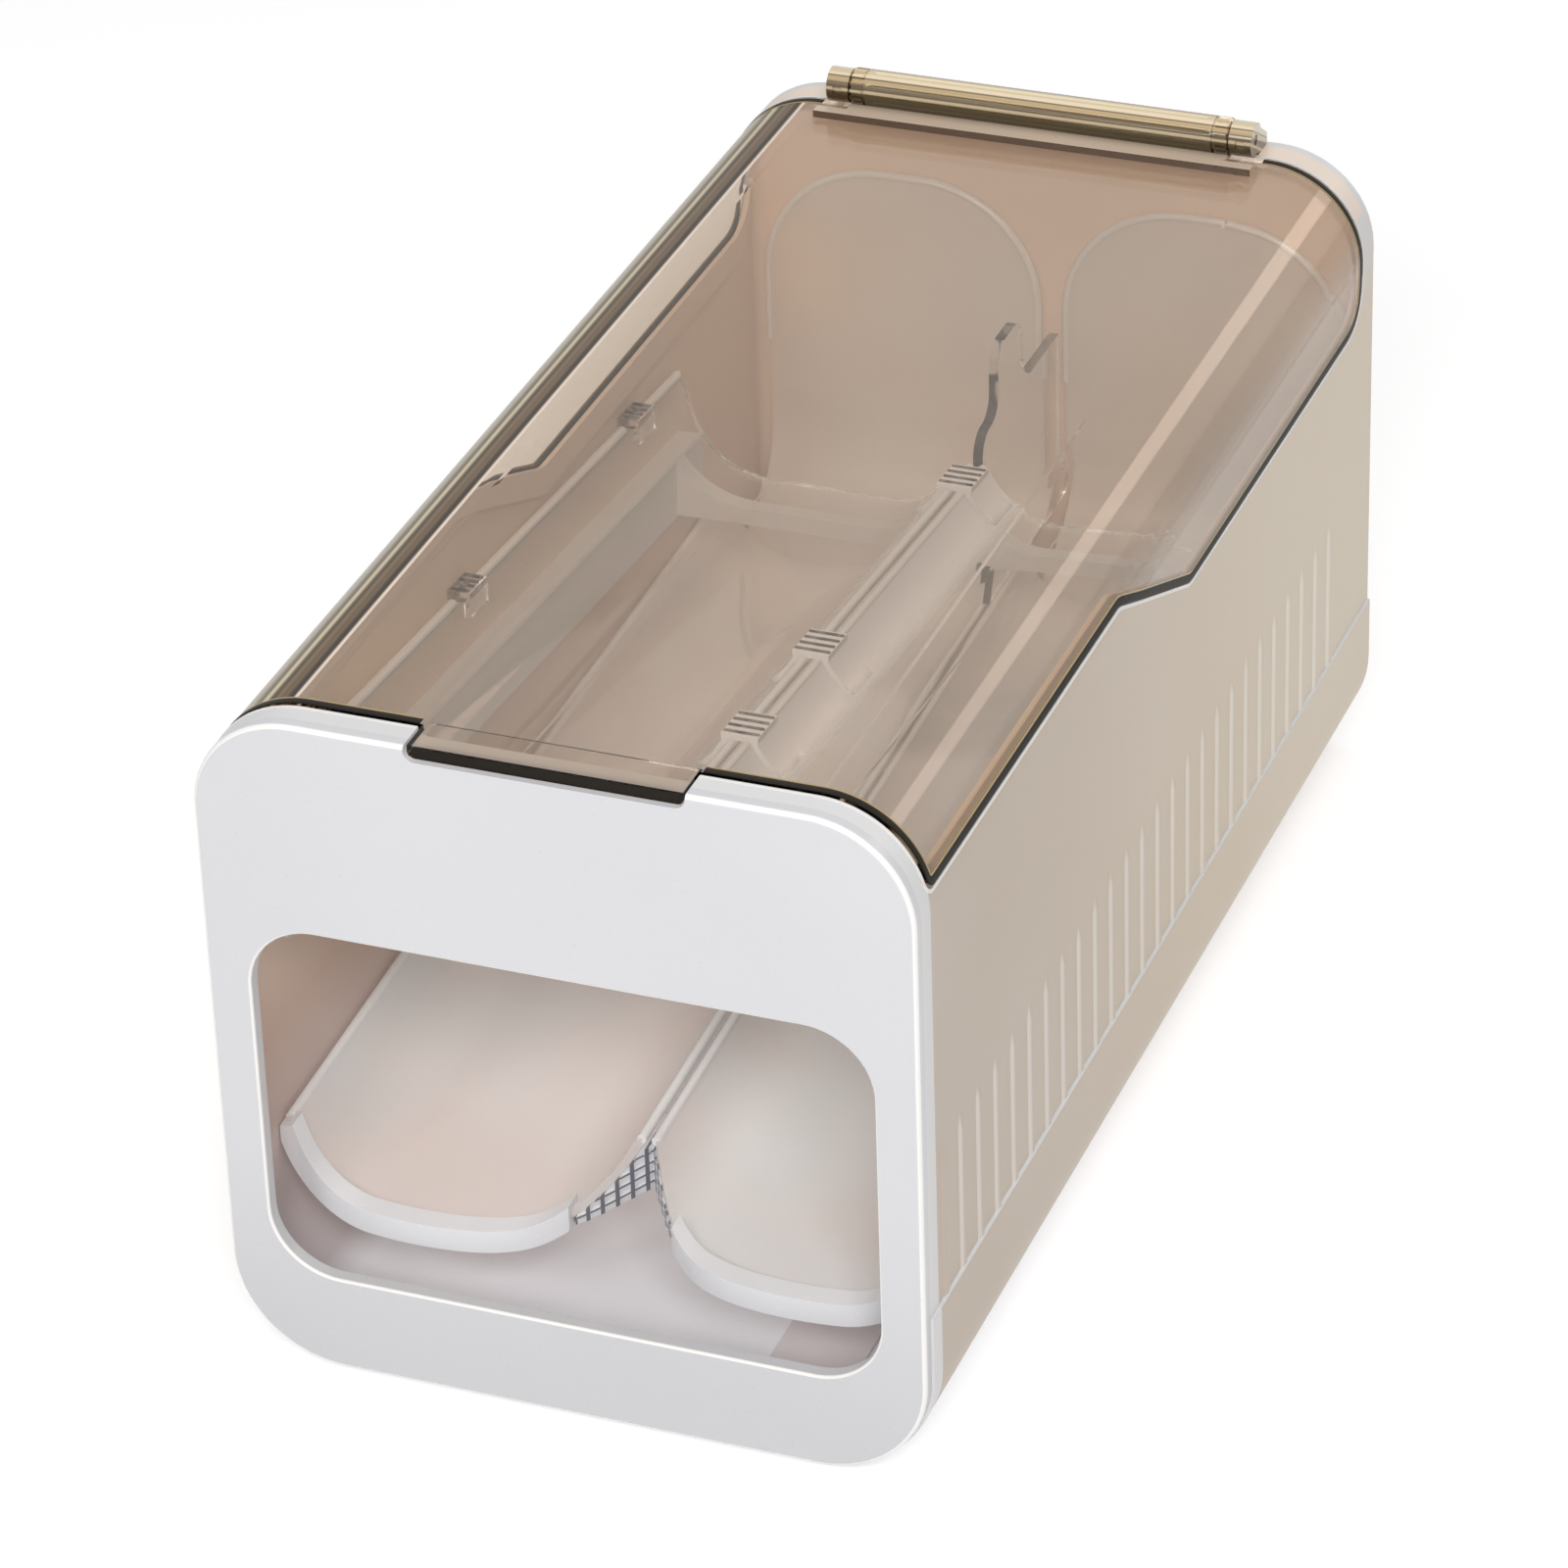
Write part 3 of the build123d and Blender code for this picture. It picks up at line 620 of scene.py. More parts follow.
@dataclass(frozen=True)
class ClearPlastic:
    """See-through plastic that bends light and darkens with its own thickness."""

    name: str
    swallowed: Colour
    density: float
    roughness: float
    roughness_swing: float = 0.03
    passed: Colour = grey(0.97)
    ior: float = 1.30
    wear: float = 60.0
    skirt_tint: Colour | None = None
    skirt_edges: Span = (76.0 * MM, 79.0 * MM)
    cover: PaintedCornerBands | HazeAndRidgeHighlight | None = None

    def make(self) -> bpy.types.Material:
        """Build the material.

        Lamps and diffuse light go straight through, so that what is shut in is lit.

        Returns:
            The new material.
        """
        graph = Graph.material(self.name)
        tint = grey(1.0)
        if self.skirt_tint:
            across = graph.math("ABSOLUTE", graph.read(Reading.POINT)[0])
            tint = graph.blend(graph.step(across, *self.skirt_edges), tint, self.skirt_tint)
        wear = graph.noise(self.wear, detail=4.0)
        glass = graph.principled(
            Base_Color=tint,
            Transmission_Weight=1.0,
            Roughness=graph.swing(wear, self.roughness, self.roughness_swing),
            IOR=self.ior,
        )
        surface = glass.outputs[0]
        if self.cover:
            surface = self.cover.over(graph, surface)
        volume = graph.add("ShaderNodeVolumeAbsorption")
        graph.feed(volume.inputs["Color"], self.swallowed)
        graph.feed(volume.inputs["Density"], self.density)
        graph.feed(graph.output.inputs["Volume"], volume.outputs[0])
        through = graph.see_through(self.passed)
        return graph.show(graph.layer(graph.rays(CARRYING), surface, through))


@dataclass(frozen=True)
class FrostedPlastic:
    """Milky plastic that lets some of what is behind it show."""

    name: str
    colour: Colour
    cover: float
    roughness: float = 0.28
    roughness_swing: float = 0.15
    lamp_share: float = 0.7
    passed: Colour = (0.97, 0.96, 0.95)
    slant_blend: float = 0.35
    cloud: float = 14.0
    cloud_edges: Span = (0.3, 0.7)
    speckle: float = 700.0
    speckle_depth: float = 0.05 * MM

    def make(self) -> bpy.types.Material:
        """Build the material.

        Returns:
            The new material.
        """
        graph = Graph.material(self.name)
        speckle = graph.noise(self.speckle, detail=3.0)
        cloud = graph.step(graph.noise(self.cloud, detail=2.0), *self.cloud_edges)
        shader = graph.principled(
            Base_Color=graph.blend(cloud, self.colour, grey(0.93)),
            Roughness=graph.swing(speckle, self.roughness, self.roughness_swing),
            Normal=graph.bump(speckle, self.speckle_depth),
        )
        cover = graph.swing(graph.slant(self.slant_blend), self.cover, 1.0 - self.cover)
        dimmed = graph.swing(graph.rays(CARRYING), 1.0, -self.lamp_share)
        through = graph.see_through(self.passed)
        return graph.show(graph.layer(graph.product(cover, dimmed), through, shader.outputs[0]))


@dataclass(frozen=True)
class HingeGlossPaintedBands:
    """Gold-brown gloss plastic with painted reflections and shade in lengthwise bands round the
    hinge's axis.
    """

    name: str
    axis_y: float
    axis_z: float
    radius: float
    # The bands lean with the camera's elevation, so that the painted light faces the camera.
    lean: float = math.radians(31.2)
    roughness: float = 0.16
    roughness_swing: float = 0.10
    streaks: float = 420.0
    stretch: tuple[float, float, float] = (0.02, 1.0, 1.0)
    wander: float = 0.03
    metallic: float = 0.15
    coat: float = 0.5
    coat_roughness: float = 0.08
    # Painted light: pale bands are painted highlights and reflections, dark bands painted shade.
    bands: tuple[tuple[float, Colour], ...] = (
        (0.00, (0.060, 0.042, 0.015)),
        (0.27, (0.080, 0.055, 0.020)),
        (0.30, (0.62, 0.50, 0.32)),
        (0.35, (0.62, 0.50, 0.32)),
        (0.38, (0.12, 0.075, 0.028)),
        (0.51, (0.14, 0.090, 0.034)),
        (0.55, (0.52, 0.38, 0.20)),
        (0.65, (0.52, 0.38, 0.20)),
        (0.67, (0.16, 0.10, 0.045)),
        (0.69, (0.16, 0.10, 0.045)),
        (0.72, (0.70, 0.58, 0.38)),
        (0.93, (0.70, 0.58, 0.38)),
        (0.96, (0.24, 0.17, 0.09)),
    )

    def make(self) -> bpy.types.Material:
        """Build the material.

        Returns:
            The new material.
        """
        graph = Graph.material(self.name)
        _, y, z = graph.read(Reading.POINT)
        along = graph.product(graph.math("SUBTRACT", y, self.axis_y), math.sin(self.lean))
        up = graph.math("SUBTRACT", z, self.axis_z)
        rise = graph.math("MULTIPLY_ADD", up, math.cos(self.lean), along)
        share = graph.swing(rise, 0.5, 0.5 / self.radius)
        streak = graph.noise(self.streaks, detail=3.0, stretch=Vector(self.stretch))
        share = graph.math("ADD", share, graph.swing(streak, -self.wander / 2, self.wander))
        shader = graph.principled(
            Base_Color=graph.ramp(share, self.bands),
            Roughness=graph.swing(streak, self.roughness, self.roughness_swing),
            Metallic=self.metallic,
            Coat_Weight=self.coat,
            Coat_Roughness=self.coat_roughness,
        )
        return graph.show(shader.outputs[0])


@dataclass(frozen=True)
class GridPlastic:
    """Pale plastic with painted shadow lines along its grid of fine ribs, for the cap under the
    ridge.
    """

    name: str
    floor: float
    start: float
    slope: float
    pale: Colour = (0.84, 0.84, 0.86)
    # Colour of the painted shadow lines.
    dark: Colour = (0.20, 0.20, 0.23)
    rib_pitch: float = 2.14 * MM
    rib_start: float = 0.60 * MM
    rib_width: float = 0.6 * MM
    bar_pitch: float = 2.5 * MM
    bar_start: float = 0.6 * MM
    bar_height: float = 0.5 * MM
    grain: float = 1200.0
    roughness: float = 0.25
    roughness_swing: float = 0.15

    def make(self) -> bpy.types.Material:
        """Build the material.

        Returns:
            The new material.
        """
        graph = Graph.material(self.name)
        x, y, z = graph.read(Reading.POINT)
        across = graph.math("SUBTRACT", graph.math("ABSOLUTE", x), self.rib_start)
        rib = graph.math("FLOORED_MODULO", across, self.rib_pitch)
        rib = graph.math("LESS_THAN", rib, self.rib_width)
        run = graph.math("SUBTRACT", y, self.start)
        ground = graph.swing(run, self.floor + self.bar_start, math.tan(self.slope))
        bar = graph.math("FLOORED_MODULO", graph.math("SUBTRACT", z, ground), self.bar_pitch)
        bar = graph.math("LESS_THAN", bar, self.bar_height)
        grain = graph.noise(self.grain, detail=3.0)
        shader = graph.principled(
            # Painted shadow: the ribs and bars take the dark colour.
            Base_Color=graph.blend(graph.math("MAXIMUM", rib, bar), self.pale, self.dark),
            Roughness=graph.swing(grain, self.roughness, self.roughness_swing),
        )
        return graph.show(shader.outputs[0])


@dataclass(frozen=True)
class Steel:
    """Drawn steel with lengthwise brushing."""

    name: str
    dull: Colour = grey(0.60)
    bright: Colour = grey(0.72)
    streaks: float = 900.0
    stretch: tuple[float, float, float] = (0.01, 1.0, 1.0)
    roughness: float = 0.25
    roughness_swing: float = 0.2

    def make(self) -> bpy.types.Material:
        """Build the material.

        Returns:
            The new material.
        """
        graph = Graph.material(self.name)
        streak = graph.noise(self.streaks, detail=3.0, stretch=Vector(self.stretch))
        shader = graph.principled(
            Base_Color=graph.blend(streak, self.dull, self.bright),
            Roughness=graph.swing(streak, self.roughness, self.roughness_swing),
            Metallic=1.0,
        )
        return graph.show(shader.outputs[0])


class Builder:
    """Collects the skin of one mesh piece and turns it into an object."""

    facets = 12
    smooth_angle = math.radians(35)

    def __init__(self, name: str) -> None:
        """Start an empty piece.

        Args:
            name: Name of the piece.
        """
        self.name = name
        self.skin = bmesh.new()

    def loft(self, rings: list[Ring], closed: bool = False) -> None:
        """Join outlines of equal length into a tube.

        Args:
            rings: Closed outlines in order.
            closed: Whether the last outline joins the first, instead of end caps.
        """
        loops = [[self.skin.verts.new(point) for point in ring] for ring in rings]
        count = len(loops[0])
        pairs = list(zip(loops, loops[1:]))
        if closed:
            pairs.append((loops[-1], loops[0]))
        for near, far in pairs:
            for index in range(count):
                after = (index + 1) % count
                self.skin.faces.new((near[index], near[after], far[after], far[index]))
        if not closed:
            self.skin.faces.new(loops[0][::-1])
            self.skin.faces.new(loops[-1])

    def bead(self, points: list[Vector], normal: Vector, radius: float) -> None:
        """A round bead along a line.

        Args:
            points: The line.
            normal: A direction square to the line.
            radius: The bead's radius.
        """
        angles = [2 * math.pi * step / self.facets for step in range(self.facets)]
        rings = []
        for index, point in enumerate(points):
            ahead = points[min(index + 1, len(points) - 1)] - points[max(index - 1, 0)]
            side = ahead.cross(normal).normalized()
            rings.append(
                [
                    point + side * radius * math.cos(angle) + normal * radius * math.sin(angle)
                    for angle in angles
                ]
            )
        self.loft(rings)

    def bar(self, centre: Vector, size: Vector, bevel: float, tilt: float = 0.0) -> None:
        """A small bar with rounded edges.

        Args:
            centre: Its middle.
            size: Its three lengths.
            bevel: Radius of its edges.
            tilt: Turn about the X axis in radians.
        """
        turn = Matrix.Translation(centre) @ Matrix.Rotation(tilt, 4, "X")
        turn = turn @ Matrix.Diagonal((*size, 1.0))
        corners = bmesh.ops.create_cube(self.skin, size=1.0, matrix=turn)["verts"]
        edges = list(dict.fromkeys(edge for corner in corners for edge in corner.link_edges))
        bmesh.ops.bevel(
            self.skin, geom=edges, offset=bevel, segments=2, profile=0.5, affect="EDGES"
        )

    def finish(self, material: bpy.types.Material, slot: str, body: Body) -> bpy.types.Object:
        """Make the object.

        Args:
            material: Its finish.
            slot: Not used.
            body: The body it moves with.

        Returns:
            The new object.
        """
        bmesh.ops.recalc_face_normals(self.skin, faces=self.skin.faces)
        mesh = bpy.data.meshes.new(self.name)
        self.skin.to_mesh(mesh)
        self.skin.free()
        mesh.polygons.foreach_set("use_smooth", [True] * len(mesh.polygons))
        mesh.set_sharp_from_angle(angle=self.smooth_angle)
        mesh.materials.append(material)
        piece = bpy.data.objects.new(self.name, mesh)
        bpy.context.scene.collection.objects.link(piece)
        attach(piece, body.value)
        LOG.info("%s: %d faces, %s", self.name, len(mesh.polygons), material.name)
        return piece


def islands(node: bpy.types.Object) -> list[tuple[Vector, Vector]]:
    """Lowest and highest corner of each separate solid of a CAD node.

    Args:
        node: The CAD object.

    Returns:
        One pair of corners per solid.
    """
    copy = bmesh.new()
    copy.from_mesh(node.data)
    copy.transform(node.matrix_world)
    bmesh.ops.remove_doubles(copy, verts=copy.verts, dist=1e-6)
    waiting = set(copy.verts)
    found = []
    for seed in copy.verts:
        if seed not in waiting:
            continue
        waiting.remove(seed)
        group = [seed]
        for vertex in group:
            for edge in vertex.link_edges:
                other = edge.other_vert(vertex)
                if other in waiting:
                    waiting.remove(other)
                    group.append(other)
        low = Vector([min(vertex.co[axis] for vertex in group) for axis in range(3)])
        high = Vector([max(vertex.co[axis] for vertex in group) for axis in range(3)])
        found.append((low, high))
    copy.free()
    return found


def rounded(corners: list[Span], radii: list[float]) -> list[Span]:
    """A line through points in a plane with its inner corners rounded.

    Args:
        corners: The line's points.
        radii: One radius for each inner corner.

    Returns:
        The rounded line's points.
    """
    steps = 10
    line = [corners[0]]
    for before, corner, after, radius in zip(corners, corners[1:], corners[2:], radii):
        middle = Vector(corner)
        back = (Vector(before) - middle).normalized()
        on = (Vector(after) - middle).normalized()
        reach = radius / math.tan(back.angle(on) / 2)
        start, end = middle + back * reach, middle + on * reach
        for step in range(steps + 1):
            share = step / steps
            point = start.lerp(middle, share).lerp(middle.lerp(end, share), share)
            line.append((point.x, point.y))
    line.append(corners[-1])
    return line


@dataclass(frozen=True)
class MouthLine:
    """The line between the lid and the body, on the dispenser's outer surface."""

    half_width: float
    top: float
    front: float
    back: float
    high: float
    low: float
    corner: float = 23.5 * MM
    step: Span = (-30.0 * MM, 18.0 * MM)
    radii: tuple[float, ...] = (3.0 * MM, 9.0 * MM, 9.0 * MM, 12.0 * MM)
    notch: float = 31.2 * MM
    hinge: float = 55.6 * MM
    arc_steps: int = 30
    spacing: float = 12.0 * MM
    hair: float = 0.001 * MM
    sink: float = 0.1 * MM
    shoulder: float = 0.6
    softness: float = 0.15

    def on_surface(self, y: float, z: float) -> tuple[Vector, Vector]:
        """A point on the right-hand outer surface.

        Args:
            y: Its Y.
            z: Its Z.

        Returns:
            The point and the surface's normal there.
        """
        rise = z - (self.top - self.corner)
        if rise <= 0:
            return Vector((self.half_width, y, z)), Vector((1, 0, 0))
        run = math.sqrt(max(self.corner**2 - rise**2, 0.0))
        point = Vector((self.half_width - self.corner + run, y, z))
        return point, Vector((run, 0, rise)) / self.corner

    def over_top(self, y: float, *places: float) -> list[tuple[Vector, Vector]]:
        """Points and normals on the flat top at y, at each X of places."""
        return [(Vector((x, y, self.top)), UP) for x in places]

    def points(self) -> list[tuple[Vector, Vector]]:
        """Follow the line from the finger notch round the right side to the hinge.

        Returns:
            Its points and the surface's normals there.
        """
        centre = self.top - self.corner
        shares = [1 - step / self.arc_steps for step in range(self.arc_steps + 1)]
        heights = [centre + self.corner * math.sin(0.5 * math.pi * share) for share in shares]
        side = rounded(
            [
                (self.front, centre + self.corner / 2),
                (self.front, self.high),
                (self.step[0], self.high),
                (self.step[1], self.low),
                (self.back, self.low),
                (self.back, centre + self.hair),
            ],
            list(self.radii),
        )
        first = side[1][1] + 10 * self.hair
        edge_x = self.half_width - self.corner
        line = self.over_top(self.front, self.notch, edge_x)
        line += [self.on_surface(self.front, z) for z in heights[1:] if z > first]
        dense = []
        for (y, z), (y_next, z_next) in zip(side[1:], side[2:]):
            count = max(1, round(math.hypot(y_next - y, z_next - z) / self.spacing))
            dense += [
                (y + (y_next - y) * share / count, z + (z_next - z) * share / count)
                for share in range(count)
            ]
        line += [self.on_surface(y, z) for y, z in [*dense, side[-1]]]
        line += [self.on_surface(self.back, z) for z in heights[::-1][1:-1]]
        return line + self.over_top(self.back, edge_x, self.hinge)

    def strip(self, builder: Builder, start: float, end: float, proud: float) -> None:
        """A thin raised strip along the line on both sides.

        Args:
            builder: The piece that it is added to.
            start: Distance of its near edge from the line, towards the lid.
            end: Distance of its far edge, negative on the body's side.
            proud: How far it stands out.
        """
        soft = (end - start) * self.softness
        low = proud * self.shoulder
        outline = [(start, -self.sink), (start, low), (start + soft, proud)]
        outline += [(end - soft, proud), (end, low), (end, -self.sink)]
        line = self.points()
        places = [point for point, _ in line]
        rings = []
        for index, (point, normal) in enumerate(line):
            ahead = places[min(index + 1, len(places) - 1)] - places[max(index - 1, 0)]
            across = normal.cross(ahead).normalized()
            rings.append([point + across * run + normal * rise for run, rise in outline])
        builder.loft(rings)
        builder.loft([[Vector((-point.x, point.y, point.z)) for point in ring] for ring in rings])


@dataclass(frozen=True)
class LidEdge:
    """The lid's edge, drawn as a dark line of painted shadow with a thin gold painted glint
    beside it.
    """

    line: MouthLine
    shadow_width: float = 1.9 * MM
    glint_width: float = 0.5 * MM
    proud: float = 0.14 * MM
    glint_proud: float = 0.112 * MM
    tab_size: tuple[float, float, float] = (59.0, 0.24, 2.3)
    tab_drop: float = 1.55 * MM
    tab_bevel: float = 0.1 * MM

    def build(self, dark: bpy.types.Material, gold: bpy.types.Material) -> None:
        """Make the painted shadow strip, the painted glint strip and the painted shadow on the
        finger tab's face.

        Args:
            dark: Finish of the painted shadow strip and the tab's face.
            gold: Finish of the painted glint strip.
        """
        edge = Builder("lid_edge_painted_shadow")
        self.line.strip(edge, 0.0, self.shadow_width, self.proud)
        edge.finish(dark, "lid_tint", Body.LID)
        inner = Builder("lid_edge_painted_glint")
        glint_end = self.shadow_width + self.glint_width
        self.line.strip(inner, self.shadow_width, glint_end, self.glint_proud)
        inner.finish(gold, "lid_tint", Body.LID)
        low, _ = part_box("lid")
        face = Builder("finger_tab_painted_shadow")
        centre = Vector((0.0, low.y, self.line.top - self.tab_drop))
        face.bar(centre, Vector(self.tab_size) * MM, self.tab_bevel)
        face.finish(dark, "lid_tint", Body.LID)


@dataclass(frozen=True)
class WallEdge:
    """The rounded edge of the body along the lid, coloured pale as a painted highlight."""

    line: MouthLine
    width: float = 0.8 * MM
    proud: float = 0.15 * MM

    def build(self, pale: bpy.types.Material) -> None:
        """Make the edge as one thin strip on each side.

        Args:
            pale: Its finish, a painted highlight.
        """
        edge = Builder("wall_edge")
        self.line.strip(edge, -self.width, 0.0, self.proud)
        edge.finish(pale, "shell", Body.ROOT)


@dataclass(frozen=True)
class Barrel:
    """The hinge barrel with lengthwise flutes and toothed ends."""

    bore: float = 1.38 * MM
    bevel: float = 0.3 * MM
    flutes: int = 7
    flute_depth: float = 0.4 * MM
    flute_phase: float = 0.6
    flute_power: int = 8
    teeth: int = 14
    tooth_depth: float = 0.6 * MM
    tooth_length: float = 3.2 * MM
    tooth_phase: float = 0.001
    groove: Span = (0.05 * MM, 0.6 * MM)
    collar: Span = (1.6 * MM, 3.0 * MM)
    facets: int = 168

    def ring(self, middle: Vector, reach: float, toothed: float, fluted: float) -> Ring:
        """One outline round the axis.

        Args:
            middle: Its centre.
            reach: Its radius.
            toothed: Depth of the cuts between the teeth.
            fluted: Depth of the flutes.

        Returns:
            The outline's points.
        """
        points = []
        for index in range(self.facets):
            angle = 2 * math.pi * index / self.facets
            tooth = toothed if math.sin(self.teeth * (angle + self.tooth_phase)) > 0 else 0.0
            wave = max(0.0, math.cos(self.flutes * angle + self.flute_phase))
            radius = reach - tooth - fluted * wave**self.flute_power
            points.append(
                middle + Vector((0.0, radius * math.cos(angle), radius * math.sin(angle)))
            )
        return points

    def build(self, material: bpy.types.Material) -> None:
        """Make the barrel in place of the plain CAD one.

        Args:
            material: Its finish.
        """
        low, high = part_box("hinge_barrel")
        middle = (low + high) / 2
        radius = (high.z - low.z) / 2
        half = (high.x - low.x) / 2
        tooth_end = half - self.tooth_length
        waist = radius - self.tooth_depth
        ends = [
            (half, self.bore, 0.0, 0.0),
            (half, radius - self.bevel, self.tooth_depth, 0.0),
            (half - self.bevel, radius, self.tooth_depth, 0.0),
            (tooth_end, radius, self.tooth_depth, 0.0),
            (tooth_end - self.groove[0], waist, 0.0, 0.0),
            (tooth_end - self.groove[1], waist, 0.0, 0.0),
            (tooth_end - sum(self.groove), radius, 0.0, 0.0),
            (tooth_end - self.collar[0], radius, 0.0, 0.0),
            (tooth_end - self.collar[1], radius, 0.0, self.flute_depth),
        ]
        stations = [(-x, *shape) for x, *shape in ends] + ends[::-1]
        rings = [self.ring(middle + Vector((x, 0.0, 0.0)), *shape) for x, *shape in stations]
        skin = Builder("hinge_barrel_fluted")
        skin.loft(rings, closed=True)
        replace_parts(skin.finish(material, "barrel", Body.LID), "hinge_barrel")


@dataclass(frozen=True)
class ClipRibs:
    """Small cross ribs on top of the clips of the upper tier."""

    slope: float
    ribs: int = 4
    width: float = 0.9 * MM
    height: float = 0.7 * MM
    bevel: float = 0.15 * MM

    def build(self, clips: bpy.types.Object, inset: float, material: bpy.types.Material) -> None:
        """Make the ribs of all clips of one node.

        Args:
            clips: The CAD node of the clips.
            inset: How far the ribs end before the clips' sides.
            material: Their finish.
        """
        piece = Builder(f"{clips.name}_ribs")
        for low, high in islands(clips):
            for index in range(self.ribs):
                share = (index + 0.5) / self.ribs
                y = low.y + (high.y - low.y) * share
                z = high.z + math.tan(self.slope) * (y - low.y)
                size = Vector((high.x - low.x - 2 * inset, self.width, self.height))
                piece.bar(Vector(((low.x + high.x) / 2, y, z)), size, self.bevel, self.slope)
        piece.finish(material, "clear_lane", Body.ROOT)


@dataclass(frozen=True)
class LaneEdges:
    """The rounded edges of both lanes of one tier, with gaps where clips sit."""

    name: str
    floor: float
    start: float
    end: float
    slope: float
    edges: Edges
    radius: float = 1.12 * MM
    clearance: float = 0.4 * MM

    def spans(self, start: float, taken: list[Span]) -> list[Span]:
        """Free stretches between the clips.

        Args:
            start: Where the edge begins.
            taken: First and last Y of each clip.

        Returns:
            First and last Y of each free stretch.
        """
        free = []
        for first, last in sorted(taken):
            free.append((start, first - self.clearance))
            start = last + self.clearance
        return [*free, (start, self.end - self.clearance)]

    def build(
        self, clips: dict[float, list[Span]], material: bpy.types.Material, slot: str
    ) -> None:
        """Make the edges.

        Args:
            clips: Spans that clips take, by the edge's X.
            material: Their finish.
            slot: The record's slot that the finish belongs to.
        """
        piece = Builder(self.name)
        for x, rise, setback in self.edges:
            for first, last in self.spans(self.start + setback, clips.get(x, [])):
                for side in (-1, 1):
                    line = []
                    for y in (first, last):
                        z = self.floor + rise + (y - self.start) * math.tan(self.slope)
                        line.append(Vector((side * x, y, z)))
                    piece.bead(line, UP, self.radius)
        piece.finish(material, slot, Body.ROOT)


@dataclass(frozen=True)
class ChuteRims:
    """The rounded rims of the two rear chutes."""

    corner: float = 30.0 * MM
    foot: float = 92.0 * MM
    radius: float = 1.05 * MM
    thickness: float = 1.8 * MM
    arc_steps: int = 15

    def build(self, material: bpy.types.Material) -> None:
        """Make both rims as one piece.

        Args:
            material: Their finish.
        """
        low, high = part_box("rear_chute_right")
        y = high.y - self.thickness / 2
        left, right, bend = low.x + self.corner, high.x - self.corner, high.z - self.corner
        quarter = []
        for step in range(self.arc_steps + 1):
            angle = 0.5 * math.pi * step / self.arc_steps
            quarter.append((self.corner * math.cos(angle), self.corner * math.sin(angle)))
        line = [(low.x, self.foot)]
        line += [(left - run, bend + rise) for run, rise in quarter]
        line += [(right + rise, bend + run) for run, rise in quarter]
        line.append((high.x, self.foot))
        piece = Builder("rear_chute_rims")
        for side in (-1, 1):
            points = [Vector((side * x, y, z)) for x, z in line]
            piece.bead(points, BACKWARD, self.radius)
        piece.finish(material, "frosted", Body.ROOT)


@dataclass(frozen=True)
class Lamp:
    """One rectangular soft lamp, with its width level unless it is given along a line."""

    name: str
    place: tuple[float, float, float]
    aim: tuple[float, float, float]
    size: Span
    power: float
    along: tuple[float, float, float] | None = None
    colour: Colour = (1.0, 1.0, 1.0)
    diffuse: bool = True

    def build(self) -> None:
        """Make the lamp."""
        data = bpy.data.lights.new(self.name, "AREA")
        data.shape = "RECTANGLE"
        data.size, data.size_y = self.size
        data.energy = self.power
        data.color = self.colour
        lamp = bpy.data.objects.new(self.name, data)
        place = Vector(self.place)
        facing = (place - Vector(self.aim)).normalized()
        width = Vector(self.along).normalized() if self.along else UP.cross(facing).normalized()
        width = (width - facing * width.dot(facing)).normalized()
        turn = Matrix((width, facing.cross(width), facing)).transposed()
        lamp.matrix_world = Matrix.Translation(place) @ turn.to_4x4()
        lamp.visible_diffuse = self.diffuse
        bpy.context.scene.collection.objects.link(lamp)
        LOG.info("%s: %.1f W", self.name, self.power)


MIDDLE = (0.0, 0.0, 0.08)
WINDOW = (0.0, -0.16, 0.04)
LAMPS = (
    Lamp("overhead", (0.2, 0.1, 1.8), MIDDLE, (1.8, 1.8), power=10.5),
    Lamp("key", (0.72, -1.62, 1.28), WINDOW, (0.8, 0.6), power=19.0),
    Lamp("window_fill", (-0.35, -1.62, 1.15), WINDOW, (0.5, 0.4), power=6.5),
    Lamp(
        "kicker",
        (0.745, 1.27, 0.723),
        MIDDLE,
        (0.75, 0.25),
        power=1.5,
        along=(0.765, 0, 0.644),
        colour=(1.0, 0.84, 0.74),
        diffuse=False,
    ),
)


